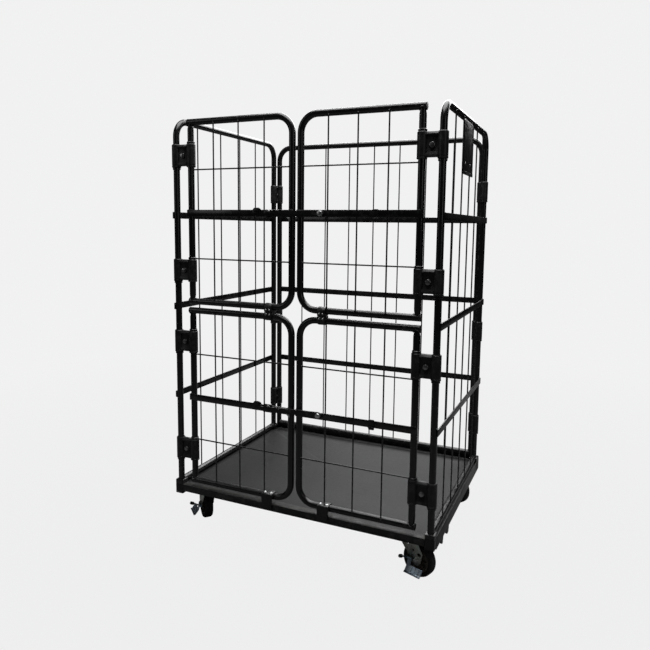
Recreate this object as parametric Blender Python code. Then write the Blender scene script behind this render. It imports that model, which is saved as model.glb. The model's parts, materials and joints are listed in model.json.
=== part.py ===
"""Four-sided roll cage container: a tube cage with split double-hinged doors on a wheeled steel base.

Units are metres, +Z is up, X runs along the door front and the doors face -Y.
The origin is on the floor, under the middle of the whole object.
"""
import math

import bmesh
import bpy
from mathutils import Matrix, Vector

# ---- driving dimensions ------------------------------------------------------------------------
POST_X = 0.5375            # side panel tubes, each side of the middle
POST_HALF_DEPTH = 0.3875   # front and rear posts, each side of the cage's own middle
DEPTH_SHIFT = -0.00425     # the middle of the posts, which isn't the middle of the overall depth
TUBE_R = 0.0125
TUBE_SIDES = 12
BEND_R = 0.065
BEND_STEPS = 3
WIRE_R = 0.0028
WIRE_SIDES = 4
CROSS_WIRE_STEP = 0.0036   # cross wires lie this far behind the upright wires, so that they weld to them
FLAT_T = 0.004             # flat cross bars, welded on the outer side of the tubes
FLAT_H = 0.026
GAP = 0.0003               # between parts that touch
SKIN = 0.0001              # steps faces apart that would lie in one plane in a Boolean

SIDE_TOP_Z = 1.6675        # axis of the side panels' top tube
SIDE_LOW_Z = 0.190
BACK_TOP_Z = 1.6565
BACK_LOW_Z = 0.2025
BACK_FOOT_Z = 0.1960
CROSS_BAR_Z = (0.5600, 0.9275, 1.2950)
LEFT_WIRE_Y = (-0.237, -0.070, 0.084, 0.222)
RIGHT_WIRE_Y = (-0.2583, -0.1292, 0.0, 0.1292, 0.2583)
BACK_UPRIGHT_X = 0.5175
BACK_SET = 0.026           # the back panel lies this far behind the rear posts
BACK_WIRES = 7

DOOR_HINGE_X = 0.467       # axis of a door's own hinge tube
DOOR_STILE_X = 0.0175      # axis of the tube where two doors meet
DOOR_RAIL_OVERHANG = 0.014
DOOR_CROSS_WIRES = {"lower": (0.25, 0.75), "upper": (0.245, 0.740)}   # as parts of the door's height
DOOR_LEVELS = {"lower": (0.2040, 0.9150), "upper": (0.9520, 1.6550)}
CLAMP_Z = {"lower": (0.3335, 0.7855), "upper": (1.0755, 1.5275)}
CLAMP_H = 0.090
CLAMP_R = 0.018
RING_R = 0.0155
RING_H = 0.008

REAR_CLAMP_Z = (0.353, 0.791, 1.421)
REAR_CLAMP_R = 0.0165

LATCH_PIVOT_X = 0.107
LATCH_REACH = 0.215        # from the pivot to the catch, and to the parking hook on the other side
LATCH_LENGTH = 0.281
CATCH_HALF = 0.018         # half the width of the bracket that holds the closed latch bar
HOOK_HALF = 0.011          # the same for the parked one
LATCH_H = 0.025
LATCH_T = 0.005
LATCH_RISE = {"lower": 0.005, "upper": 0.0}   # the latch axis above the middle of the door's flat bar
LATCH_CLEARANCE = 0.0045   # from the flat bar to the latch bar
LATCH_CRANK = 0.008        # how far the hand end is cranked up
KNOB_R = 0.014
KNOB_H = 0.008
PIVOT_R = 0.0060
PIVOT_HEAD_R = 0.0105

SPACER_X = 0.111
SILL_TAB_X = {"left": -0.113, "right": 0.1275}

RAIL_OUT_X = 0.5555        # outer face of the base
BASE_WALL = 0.0035
SOCKET_HALF = 0.018
SOCKET_Z = (0.137, 0.1771)
COLLAR_TOP_Z = 0.1945      # top of the square collars on the posts, which rest on the sockets
RAIL_Z = (0.128, 0.1770)
REAR_RAIL_TOP_Z = 0.1893
SILL_Z = (0.148, 0.1770)
SHELF_Z = (0.1585, 0.1627)  # flange that carries the deck, and the caster pads
CROSS_MEMBER_X = (0.230, 0.250)
CROSS_MEMBER_LOW_Z = 0.1330
PAD_X = (0.240, 0.520)
PAD_HALF_DEPTH = 0.055
LUG_T = 0.007
LUGS = ((0.0745, 0.1225), (0.1545, 0.2115))   # front and rear end of each rail lug, from the front posts
LUG_LOW_Z = 0.105
DECK_Z = (0.1630, 0.1720)

CASTER_X = 0.449
CASTER_INSET = 0.0615      # caster pivots, in from the posts' rows
CASTER_TRAIL = 0.040
CASTER_TURN = {            # direction the wheel trails in, in degrees from +X
    "front_left": 138.0, "front_right": -19.0, "rear_left": 200.0, "rear_right": -30.0,
}
WHEEL_R = 0.0625
WHEEL_STEPS = 16
AXLE_R = 0.0060
LEG_Y = (0.0212, 0.0242)   # inner and outer face of a fork leg
CROWN_Z = (0.1392, 0.1472)
RACE_Z = (0.1475, 0.1550)
PLATE_Z = (0.1547, 0.1578)
PEDAL_AXIS = (0.0320, 0.0680)   # distance out, and height, of the pedal's hinge, which runs along local X
PEDAL_TUBE_X = (-0.002, 0.029)
PEDAL_ARM_X = (0.012, 0.028)
TREADLE_X = (0.012, 0.080)
LEVER_X = (-0.001, 0.009)

FRONT = DEPTH_SHIFT - POST_HALF_DEPTH
REAR = DEPTH_SHIFT + POST_HALF_DEPTH
BACK_Y = REAR + BACK_SET
BASE_REAR = BACK_Y + TUBE_R              # the base ends under the back panel
DOOR_FACE = FRONT - TUBE_R - FLAT_T      # front of the doors' flat bars
LATCH_BACK = DOOR_FACE - LATCH_CLEARANCE
LATCH_FRONT = LATCH_BACK - LATCH_T
CATCH_X = LATCH_PIVOT_X - LATCH_REACH
HOOK_X = LATCH_PIVOT_X + LATCH_REACH - 0.008


# ---- materials ---------------------------------------------------------------------------------
def make_material(name, color, roughness, metallic):
    material = bpy.data.materials.new(name)
    material.use_nodes = True
    shader = material.node_tree.nodes["Principled BSDF"]
    shader.inputs["Base Color"].default_value = (*color, 1.0)
    shader.inputs["Roughness"].default_value = roughness
    shader.inputs["Metallic"].default_value = metallic
    return material


# ---- mesh helpers ------------------------------------------------------------------------------
def add_object(name, bm, location=(0, 0, 0)):
    bmesh.ops.recalc_face_normals(bm, faces=bm.faces)
    mesh = bpy.data.meshes.new(name)
    bm.to_mesh(mesh)
    bm.free()
    obj = bpy.data.objects.new(name, mesh)
    obj.location = location
    bpy.context.scene.collection.objects.link(obj)
    return obj


def box(low, high):
    """A closed block between two corners."""
    bm = bmesh.new()
    bmesh.ops.create_cube(bm, size=1.0)
    size = [h - l for l, h in zip(low, high)]
    middle = [(h + l) / 2 for l, h in zip(low, high)]
    bmesh.ops.scale(bm, vec=size, verts=bm.verts)
    bmesh.ops.translate(bm, vec=middle, verts=bm.verts)
    return add_object("block", bm)


def skin_rings(rings, closed=False):
    """Bridges equal rings of points into one closed body."""
    bm = bmesh.new()
    loops = [[bm.verts.new(p) for p in ring] for ring in rings]
    pairs = list(zip(loops, loops[1:]))
    if closed:
        pairs.append((loops[-1], loops[0]))
    for a, b in pairs:
        count = len(a)
        for i in range(count):
            bm.faces.new((a[i], a[(i + 1) % count], b[(i + 1) % count], b[i]))
    if not closed:
        bm.faces.new(loops[0][::-1])
        bm.faces.new(loops[-1])
    return add_object("skin", bm)


def circle(center, u, v, radius, sides):
    """Corners of a regular polygon. With a multiple of four sides, a flat faces u and another faces v."""
    ring = []
    for i in range(sides):
        turn = 2 * math.pi * (i + 0.5) / sides
        ring.append(Vector(center) + radius * (math.cos(turn) * u + math.sin(turn) * v))
    return ring


def sweep(points, normal, radius, sides):
    """A round bar along points that lie in one plane with this normal."""
    points = [Vector(p) for p in points]
    normal = Vector(normal)
    rings = []
    for i, point in enumerate(points):
        before = (point - points[i - 1]).normalized() if i else None
        after = (points[i + 1] - point).normalized() if i + 1 < len(points) else None
        along = before or after
        stretch = 1.0
        if before and after:
            along = (before + after).normalized()
            stretch = 1.0 / max(along.dot(after), 0.2)
        side = normal.cross(along)
        rings.append(circle(point, side * stretch, normal, radius, sides))
    return skin_rings(rings)


def rod(start, end, radius, sides):
    """A straight round bar."""
    start = Vector(start)
    end = Vector(end)
    along = (end - start).normalized()
    helper = Vector((0, 1, 0)) if abs(along.z) > 0.5 else Vector((0, 0, 1))
    u = along.cross(helper).normalized()
    v = along.cross(u)
    return skin_rings([circle(p, u, v, radius, sides) for p in (start, end)])


def rounded_path(corners, radius):
    """A polyline whose inner corners are arcs."""
    corners = [Vector(c) for c in corners]
    path = [corners[0]]
    for before, corner, after in zip(corners, corners[1:], corners[2:]):
        into = (corner - before).normalized()
        out = (after - corner).normalized()
        half = into.angle(out) / 2
        setback = radius * math.tan(half)
        inner = (out - into).normalized()
        center = corner + inner * (radius / math.cos(half))
        first = corner - into * setback - center
        axis = into.cross(out).normalized()
        for i in range(BEND_STEPS + 1):
            path.append(center + Matrix.Rotation(2 * half * i / BEND_STEPS, 3, axis) @ first)
    path.append(corners[-1])
    return path


def prism(outline, axis, low, high):
    """An outline of two coordinates, extruded along the axis named x, y or z."""
    def place(a, b, c):
        return {"x": (c, a, b), "y": (a, c, b), "z": (a, b, c)}[axis]
    return skin_rings([[Vector(place(a, b, c)) for a, b in outline] for c in (low, high)])


def turned(profile, steps):
    """A profile of (radius, height) points, spun about Y. Radii are to the flats, and a flat faces down."""
    stretch = 1 / math.cos(math.pi / steps)
    rings = []
    for i in range(steps):
        turn = 2 * math.pi * (i + 0.5) / steps
        ring = []
        for radius, height in profile:
            reach = radius * stretch
            ring.append(Vector((reach * math.sin(turn), height, -reach * math.cos(turn))))
        rings.append(ring)
    return skin_rings(rings, closed=True)


def combine(body, others, operation):
    """Applies Boolean steps to a body, and removes the pieces that it used."""
    for other in others:
        step = body.modifiers.new(operation.lower(), "BOOLEAN")
        step.operation = operation
        step.solver = "EXACT"
        step.object = other
    graph = bpy.context.evaluated_depsgraph_get()
    mesh = bpy.data.meshes.new_from_object(body.evaluated_get(graph))
    body.modifiers.clear()
    body.data = mesh
    for other in others:
        bpy.data.objects.remove(other)
    return body


def group(pieces):
    """Puts pieces that don't touch each other into one object, to use them in one Boolean step."""
    bm = bmesh.new()
    for piece in pieces:
        start = len(bm.verts)
        bm.from_mesh(piece.data)
        bm.verts.ensure_lookup_table()
        bmesh.ops.transform(bm, matrix=piece.matrix_basis, verts=bm.verts[start:])
        bpy.data.objects.remove(piece)
    return add_object("group", bm)


def finish(obj, name, material, parent=None, smooth=True):
    """Names a part and gives it its material, its parent and its shading."""
    obj.name = name
    obj.data.name = name
    obj.data.materials.clear()
    obj.data.materials.append(material)
    if smooth:
        obj.data.shade_smooth()
        obj.data.set_sharp_from_angle(angle=math.radians(40))
    if parent:
        obj.parent = parent
    return obj


def shift_mesh(obj, offset):
    """Moves a mesh inside its object, so that the object's origin can sit on a joint's axis."""
    obj.data.transform(Matrix.Translation([-value for value in offset]))
    obj.location = offset
    return obj


# ---- cage panels -------------------------------------------------------------------------------
def side_panel(name, side, material):
    """A hoop of tube with a bottom rail, wires, three cross bars, rest rings and socket collars."""
    x = side * POST_X
    low = SOCKET_Z[0] + 0.001
    corners = ((x, FRONT, low), (x, FRONT, SIDE_TOP_Z), (x, REAR, SIDE_TOP_Z), (x, REAR, low))
    hoop = sweep(rounded_path(corners, BEND_R), (1, 0, 0), TUBE_R, TUBE_SIDES)
    bottom = rod((x, FRONT, SIDE_LOW_Z), (x, REAR, SIDE_LOW_Z), TUBE_R, TUBE_SIDES)
    wire_x = x + side * (TUBE_R - WIRE_R)
    wires = []
    for y in LEFT_WIRE_Y if x < 0 else RIGHT_WIRE_Y:
        y = y + DEPTH_SHIFT
        wires.append(rod((wire_x, y, SIDE_LOW_Z), (wire_x, y, SIDE_TOP_Z), WIRE_R, WIRE_SIDES))
    faces = sorted((x + side * (TUBE_R - 0.0005), x + side * (TUBE_R + FLAT_T)))
    bars = []
    for z in CROSS_BAR_Z:
        bars.append(box((faces[0], FRONT - 0.010, z - FLAT_H / 2), (faces[1], REAR + 0.010, z + FLAT_H / 2)))
    rings = []
    for z in CLAMP_Z["lower"] + CLAMP_Z["upper"]:
        top = z - CLAMP_H / 2 - GAP
        rings.append(rod((x, FRONT, top - RING_H), (x, FRONT, top), RING_R, TUBE_SIDES))
    collars = []
    for y in (FRONT, REAR):
        collars.append(box((x - SOCKET_HALF, y - SOCKET_HALF, SOCKET_Z[1] + GAP),
                           (x + SOCKET_HALF, y + SOCKET_HALF, COLLAR_TOP_Z)))
    combine(hoop, [bottom, group(wires), group(bars), group(rings), group(collars)], "UNION")
    return finish(hoop, name, material)


def back_panel(material):
    """The rear hoop, which stands between the side panels and is clamped to their rear posts."""
    x = BACK_UPRIGHT_X
    path = rounded_path(((-x, BACK_Y, BACK_FOOT_Z), (-x, BACK_Y, BACK_TOP_Z),
                         (x, BACK_Y, BACK_TOP_Z), (x, BACK_Y, BACK_FOOT_Z)), BEND_R)
    hoop = sweep(path, (0, 1, 0), TUBE_R, TUBE_SIDES)
    bottom = rod((-x, BACK_Y, BACK_LOW_Z), (x, BACK_Y, BACK_LOW_Z), TUBE_R, TUBE_SIDES)
    wire_y = BACK_Y + TUBE_R - WIRE_R
    pitch = 2 * x / (BACK_WIRES + 1)
    wires = []
    for i in range(BACK_WIRES):
        wire_x = -x + pitch * (i + 1)
        wires.append(rod((wire_x, wire_y, BACK_LOW_Z), (wire_x, wire_y, BACK_TOP_Z), WIRE_R, WIRE_SIDES))
    bars = []
    for z in CROSS_BAR_Z:
        bars.append(box((-x - 0.010, BACK_Y + TUBE_R - 0.0005, z - FLAT_H / 2),
                        (x + 0.010, BACK_Y + TUBE_R + FLAT_T, z + FLAT_H / 2)))
    combine(hoop, [bottom, group(wires), group(bars)], "UNION")
    return finish(hoop, "back_panel", material)


def door_wire_x(number):
    """Distance from the middle to a door's upright wire, counted from the meeting stile."""
    return DOOR_STILE_X + (DOOR_HINGE_X - DOOR_STILE_X) * number / 4


def door(name, side, level, material):
    """Half-height door: a bent frame with a straight hinge tube, wires and one cross bar."""
    low, high = DOOR_LEVELS[level]
    middle = (low + high) / 2
    hinge = side * DOOR_HINGE_X
    stile = side * DOOR_STILE_X
    rail_end = side * (DOOR_HINGE_X + DOOR_RAIL_OVERHANG)
    path = rounded_path(((rail_end, FRONT, low), (stile, FRONT, low),
                         (stile, FRONT, high), (rail_end, FRONT, high)), BEND_R)
    frame = sweep(path, (0, 1, 0), TUBE_R, TUBE_SIDES)
    upright = rod((hinge, FRONT, low), (hinge, FRONT, high), TUBE_R, TUBE_SIDES)
    wire_y = FRONT - TUBE_R + WIRE_R
    wires = []
    for i in (1, 2, 3):
        wire_x = side * door_wire_x(i)
        wires.append(rod((wire_x, wire_y, low), (wire_x, wire_y, high), WIRE_R, WIRE_SIDES))
    cross_y = wire_y + CROSS_WIRE_STEP
    crosses = []
    for part in DOOR_CROSS_WIRES[level]:
        z = low + (high - low) * part
        crosses.append(rod((stile, cross_y, z), (hinge, cross_y, z), WIRE_R, WIRE_SIDES))
    ends = sorted((stile - side * 0.010, hinge + side * 0.011))
    bar = box((ends[0], DOOR_FACE, middle - FLAT_H / 2),
              (ends[1], DOOR_FACE + FLAT_T + 0.0005, middle + FLAT_H / 2))
    rings = []
    for z in CLAMP_Z[level]:
        base = z + CLAMP_H / 2 + GAP
        rings.append(rod((hinge, FRONT, base), (hinge, FRONT, base + RING_H), RING_R, TUBE_SIDES))
    combine(frame, [upright, group(wires), group(crosses), bar, group(rings)], "UNION")
    return finish(shift_mesh(frame, (hinge, FRONT, 0)), name, material)


def hinge_clamp(name, side, z, material):
    """Moulded clamp with two barrels: one turns on the cage post, the door's tube turns in the other."""
    post = side * POST_X
    hinge = side * DOOR_HINGE_X
    low = z - CLAMP_H / 2
    high = z + CLAMP_H / 2
    body = rod((post, FRONT, low), (post, FRONT, high), CLAMP_R, TUBE_SIDES)
    barrel = rod((hinge, FRONT, low), (hinge, FRONT, high), CLAMP_R, TUBE_SIDES)
    ends = sorted((post - side * 0.012, hinge + side * 0.012))
    web = box((ends[0], FRONT - 0.0115, low + 0.006), (ends[1], FRONT + 0.0115, high - 0.006))
    middle = (post + hinge) / 2
    plate = box((middle - 0.012, FRONT - 0.0145, z - 0.016), (middle + 0.012, FRONT + 0.0145, z + 0.016))
    combine(body, [barrel, web, plate], "UNION")
    bore_r = (TUBE_R + 0.0005) / math.cos(math.pi / TUBE_SIDES)
    bores = [rod((x, FRONT, low - 0.01), (x, FRONT, high + 0.01), bore_r, TUBE_SIDES) for x in (post, hinge)]
    combine(body, [group(bores)], "DIFFERENCE")
    return finish(shift_mesh(body, (post, FRONT, 0)), name, material)


def rear_clamp(name, side, z, material):
    """Two-hole clamp that holds the back panel's upright to the side panel's rear post."""
    centers = (Vector((side * POST_X, REAR)), Vector((side * BACK_UPRIGHT_X, BACK_Y)))
    across = centers[1] - centers[0]
    heading = math.atan2(across.y, across.x)
    low = z - CLAMP_H / 2
    high = z + CLAMP_H / 2
    outline = []
    for center, start in zip(centers, (90, -90)):
        for turn in range(start, start + 181, 36):
            angle = heading + math.radians(turn)
            corner = center + REAR_CLAMP_R * Vector((math.cos(angle), math.sin(angle)))
            outline.append((corner.x, corner.y))
    body = prism(outline, "z", low, high)
    bore_r = TUBE_R + GAP / math.cos(math.pi / TUBE_SIDES)
    bores = [rod((center.x, center.y, low - 0.01), (center.x, center.y, high + 0.01), bore_r, TUBE_SIDES)
             for center in centers]
    combine(body, [group(bores)], "DIFFERENCE")
    return finish(body, name, material)



# ---- base --------------------------------------------------------------------------------------
def base_side(side):
    """Angle, cross member, caster pads and lugs on one side of the base."""
    def block(inner, outer, y, z):
        x = sorted((side * inner, side * outer))
        return box((x[0], y[0], z[0]), (x[1], y[1], z[1]))

    pieces = [
        block(RAIL_OUT_X - BASE_WALL, RAIL_OUT_X, (FRONT, BASE_REAR - 0.0010), RAIL_Z),
        block(0.5000, RAIL_OUT_X - 0.001, (FRONT + 0.010, REAR - 0.010), SHELF_Z),
        block(*CROSS_MEMBER_X, (FRONT, REAR + 0.015), (CROSS_MEMBER_LOW_Z, SHELF_Z[1])),
    ]
    for middle in (FRONT + CASTER_INSET, REAR - CASTER_INSET):
        pieces.append(block(*PAD_X, (middle - PAD_HALF_DEPTH, middle + PAD_HALF_DEPTH),
                            (PLATE_Z[1] + GAP, SHELF_Z[1] - 2 * SKIN)))
    top = RAIL_Z[0] + 0.004
    for lug_front, lug_rear in LUGS:
        front = FRONT + lug_front
        rear = FRONT + lug_rear
        outline = ((front, top), (front + 0.030, LUG_LOW_Z), (rear - 0.008, LUG_LOW_Z), (rear, top))
        pieces.append(prism(outline, "x", *sorted((side * (RAIL_OUT_X - LUG_T), side * RAIL_OUT_X))))
    return pieces


def base_frame(material):
    """Welded base: sill, side and rear angles, corner sockets, cross members and caster pads."""
    sill = box((-POST_X, FRONT - SOCKET_HALF + SKIN, SILL_Z[0]), (POST_X, FRONT + SOCKET_HALF, SILL_Z[1]))
    rear_x = RAIL_OUT_X - 0.0010
    rear_wall = box((-rear_x, BASE_REAR - BASE_WALL, RAIL_Z[0] + SKIN), (rear_x, BASE_REAR, REAR_RAIL_TOP_Z))
    rear_shelf = box((-POST_X, REAR - 0.035, SHELF_Z[0] + SKIN),
                     (POST_X, BASE_REAR - 0.001, SHELF_Z[1] - SKIN))
    sockets = []
    holes = []
    hole_r = TUBE_R + GAP / math.cos(math.pi / TUBE_SIDES)
    for x in (-POST_X, POST_X):
        for y in (FRONT, REAR):
            sockets.append(box((x - SOCKET_HALF, y - SOCKET_HALF, SOCKET_Z[0]),
                               (x + SOCKET_HALF, y + SOCKET_HALF, SOCKET_Z[1])))
            holes.append(rod((x, y, SOCKET_Z[0] - 0.05), (x, y, SOCKET_Z[1] + 0.05), hole_r, TUBE_SIDES))
    combine(sill, [*base_side(-1), *base_side(1), rear_wall, rear_shelf, group(sockets)], "UNION")
    combine(sill, [group(holes)], "DIFFERENCE")
    return finish(sill, "base_frame", material)


def deck_panel(material):
    """Loading deck, notched at the rear corners around the sockets."""
    x = RAIL_OUT_X - BASE_WALL - 0.0005
    notch_x = POST_X - SOCKET_HALF - 0.001
    front = FRONT + SOCKET_HALF + 0.0005
    notch_y = REAR - SOCKET_HALF - 0.001
    rear = BASE_REAR - BASE_WALL - 0.0005
    outline = ((-x, front), (x, front), (x, notch_y), (notch_x, notch_y), (notch_x, rear),
               (-notch_x, rear), (-notch_x, notch_y), (-x, notch_y))
    return finish(prism(outline, "z", *DECK_Z), "deck_panel", material, smooth=False)


def card_holder(material):
    """Sheet metal card holder outside two wires of the right side panel, with a turned-up lip."""
    inner = POST_X + TUBE_R + GAP
    outer = RAIL_OUT_X
    sheet = 0.0015
    low = 1.455
    high = 1.652
    lip = low + 0.012
    outline = ((inner, low), (outer, low), (outer, lip), (outer - sheet, lip), (outer - sheet, low + sheet),
               (inner + sheet, low + sheet), (inner + sheet, high), (inner, high))
    sheet_body = prism(outline, "y", DEPTH_SHIFT - 0.138, DEPTH_SHIFT + 0.022)
    return finish(sheet_body, "card_holder", material, smooth=False)


# ---- door hardware -----------------------------------------------------------------------------
def latch_axis_z(level):
    low, high = DOOR_LEVELS[level]
    return (low + high) / 2 + LATCH_RISE[level]


def latch_bar(name, level, material):
    """Swinging bar that lies across both doors, with a lifting knob and a cranked hand end."""
    z = latch_axis_z(level)
    end_x = LATCH_PIVOT_X - LATCH_LENGTH
    half = LATCH_H / 2
    outline = []
    for i in range(7):
        turn = -math.pi / 2 + math.pi * i / 6
        outline.append((LATCH_PIVOT_X + half * math.cos(turn), z + half * math.sin(turn)))
    top = z + half + LATCH_CRANK
    outline += [(end_x + 0.045, z + half), (end_x + 0.030, top), (end_x + 0.010, top),
                (end_x, top - 0.012), (end_x, z - 0.004), (end_x + 0.012, z - half)]
    bar = prism(outline, "y", LATCH_FRONT, LATCH_BACK)
    knob_x = LATCH_PIVOT_X - LATCH_REACH
    knob = rod((knob_x, LATCH_FRONT + 0.0005, z), (knob_x, LATCH_FRONT - KNOB_H, z), KNOB_R, 12)
    combine(bar, [knob], "UNION")
    bore_r = (PIVOT_R + GAP) / math.cos(math.pi / 12)
    bore = rod((LATCH_PIVOT_X, LATCH_FRONT - 0.01, z), (LATCH_PIVOT_X, LATCH_BACK + 0.01, z), bore_r, 12)
    combine(bar, [bore], "DIFFERENCE")
    return finish(shift_mesh(bar, (LATCH_PIVOT_X, LATCH_FRONT, z)), name, material)


def latch_pivot(name, level, material):
    """Shouldered bolt on the right door that the latch bar turns on."""
    z = latch_axis_z(level)
    x = LATCH_PIVOT_X
    washer = rod((x, DOOR_FACE - GAP, z), (x, LATCH_BACK + GAP, z), PIVOT_HEAD_R, 12)
    shank = rod((x, DOOR_FACE - 2 * GAP, z), (x, LATCH_FRONT - 0.005, z), PIVOT_R, 12)
    head = rod((x, LATCH_FRONT - GAP, z), (x, LATCH_FRONT - 0.0055, z), PIVOT_HEAD_R, 12)
    combine(washer, [shank, head], "UNION")
    return finish(washer, name, material)


def latch_seat(name, x, half, level, rise, material):
    """Bracket on a door's cross bar that the latch bar rests on: the catch, or the parking hook.

    The rise is how far its plate ends above the latch axis, or below it when negative.
    """
    z = latch_axis_z(level)
    plate_front = LATCH_BACK + 0.0008
    seat = z - LATCH_H / 2 - 0.0006
    top = z + max(rise, LATCH_H / 2)
    bottom = min(z + rise, seat - 0.005)
    plate = box((x - half, plate_front, bottom), (x + half, DOOR_FACE - GAP, top))
    shelf = box((x - half, plate_front - LATCH_T, seat - 0.004), (x + half, DOOR_FACE - GAP - 0.0005, seat))
    combine(plate, [shelf], "UNION")
    return finish(plate, name, material)


def spacer_block(name, side, level, material):
    """Buffer clamped on a door rail: upper and lower ones meet in the gap between the doors."""
    low_rail = DOOR_LEVELS["lower"][1]
    high_rail = DOOR_LEVELS["upper"][0]
    rail, away = (high_rail, 1) if level == "upper" else (low_rail, -1)
    z = sorted(((low_rail + high_rail) / 2 + away * 2 * GAP, rail + away * 0.015))
    x = side * SPACER_X
    half = 0.015
    body = box((x - half, FRONT - 0.0190, z[0]), (x + half, FRONT + 0.0165, z[1]))
    bore = rod((x - 2 * half, FRONT, rail), (x + 2 * half, FRONT, rail), TUBE_R + 0.0004, TUBE_SIDES)
    combine(body, [bore], "DIFFERENCE")
    return finish(body, name, material, smooth=False)


def sill_tab(name, x, material):
    """Stop clamped on a lower door's bottom rail, whose skirt hangs in front of the sill."""
    rail = DOOR_LEVELS["lower"][0]
    half = 0.0225
    top = rail + 0.0150
    face = FRONT - 0.0245
    saddle = box((x - half, face, rail - 0.0080), (x + half, FRONT + 0.0165, top))
    skirt = box((x - half, face, 0.1600), (x + half, face + 0.0062, rail))
    combine(saddle, [skirt], "UNION")
    bore = rod((x - 2 * half, FRONT, rail), (x + 2 * half, FRONT, rail), TUBE_R + 0.0004, TUBE_SIDES)
    wire_x = math.copysign(door_wire_x(1), x)
    wire_y = FRONT - TUBE_R + WIRE_R
    slot = rod((wire_x, wire_y, rail), (wire_x, wire_y, top + 0.01), WIRE_R + 0.0006, 8)
    combine(saddle, [bore, slot], "DIFFERENCE")
    return finish(saddle, name, material, smooth=False)


# ---- casters -----------------------------------------------------------------------------------
def caster_plate(name, x, y, material):
    """Top plate with the fixed half of the swivel race under it."""
    plate = box((x - 0.0525, y - 0.0425, PLATE_Z[0]), (x + 0.0525, y + 0.0425, PLATE_Z[1]))
    race = rod((x, y, RACE_Z[0]), (x, y, RACE_Z[1]), 0.026, 12)
    combine(plate, [race], "UNION")
    return finish(plate, name, material)


def caster_fork(name, swivel, material):
    """Pressed fork: crown, two wide legs and the axle holes, about the swivel axis."""
    crown = rod((0, 0, CROWN_Z[0]), (0, 0, CROWN_Z[1]), 0.029, 8)
    bridge = box((-0.028, -LEG_Y[1], CROWN_Z[0] + 0.0003), (0.034, LEG_Y[1], CROWN_Z[0] + 0.0045))
    outline = ((-0.030, CROWN_Z[0] + 0.0042), (0.040, CROWN_Z[0] + 0.0042), (0.068, 0.095), (0.058, 0.055),
               (0.048, 0.047), (0.032, 0.047), (0.020, 0.060), (-0.024, 0.112))
    legs = []
    for side in (-1, 1):
        y = sorted((side * LEG_Y[0], side * (LEG_Y[1] + 0.0002)))
        legs.append(prism(outline, "y", *y))
    combine(crown, [bridge, group(legs)], "UNION")
    hole_r = (AXLE_R + GAP) / math.cos(math.pi / 8)
    hole = rod((CASTER_TRAIL, -0.05, WHEEL_R), (CASTER_TRAIL, 0.05, WHEEL_R), hole_r, 8)
    combine(crown, [hole], "DIFFERENCE")
    return finish(crown, name, material, swivel)


def turned_on_axle(name, profile, swivel, material):
    """A turned piece whose own origin is the wheel's centre."""
    body = turned(profile, WHEEL_STEPS)
    body.location = (CASTER_TRAIL, 0, WHEEL_R)
    return finish(body, name, material, swivel)


def mirrored(half_profile):
    """Repeats a profile's points in reverse order on the other side of the wheel's middle."""
    return (*half_profile, *((radius, -height) for radius, height in reversed(half_profile)))


TYRE_PROFILE = mirrored(((0.0470, -0.0160), (0.0575, -0.0180), (WHEEL_R, -0.0110)))
HUB_PROFILE = mirrored(((AXLE_R + GAP, -0.0207), (0.0165, -0.0207), (0.0200, -0.0085), (0.0467, -0.0150)))


def caster_axle(name, swivel, material):
    """Axle bolt through both legs and the hub, with its head and nut."""
    shaft = rod((0, -0.0300, 0), (0, 0.0300, 0), AXLE_R, 12)
    inner = LEG_Y[1] + 0.0005
    ends = [rod((0, side * inner, 0), (0, side * (inner + 0.0070), 0), 0.0095, 6) for side in (-1, 1)]
    combine(shaft, [group(ends)], "UNION")
    shaft.location = (CASTER_TRAIL, 0, WHEEL_R)
    return finish(shaft, name, material, swivel)


def brake_pedal(name, swivel, hand, material):
    """Side brake: a short hinge tube, a treadle plate low beside the wheel, and a lever with a tip.

    The hand is the side of the fork that it is on: -1 for local -Y, 1 for local +Y.
    """
    out, z = PEDAL_AXIS
    y = hand * out

    def sheet(outline, ends):
        return prism([(hand * a, b) for a, b in outline], "x", *ends)

    hinge_tube = rod((PEDAL_TUBE_X[0], y, z), (PEDAL_TUBE_X[1], y, z), 0.0045, 8)
    arm = sheet(((out, z + 0.0035), (out, z - 0.0035), (0.0385, 0.0450), (0.0415, 0.0470)), PEDAL_ARM_X)
    treadle = sheet(((0.0370, 0.0465), (0.0520, 0.0270), (0.0600, 0.0255), (0.0600, 0.0285),
                     (0.0540, 0.0297), (0.0395, 0.0485)), TREADLE_X)
    lever = sheet(((out, z + 0.0022), (out, z - 0.0022), (0.0640, 0.0822), (0.0640, 0.0862)), LEVER_X)
    tip_x = sum(LEVER_X) / 2
    tip = rod((tip_x, hand * 0.0600, 0.0825), (tip_x, hand * 0.0760, 0.0895), 0.0062, 8)
    combine(hinge_tube, [arm, treadle, lever, tip], "UNION")
    return finish(shift_mesh(hinge_tube, (0.014, y, z)), name, material, swivel)


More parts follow.
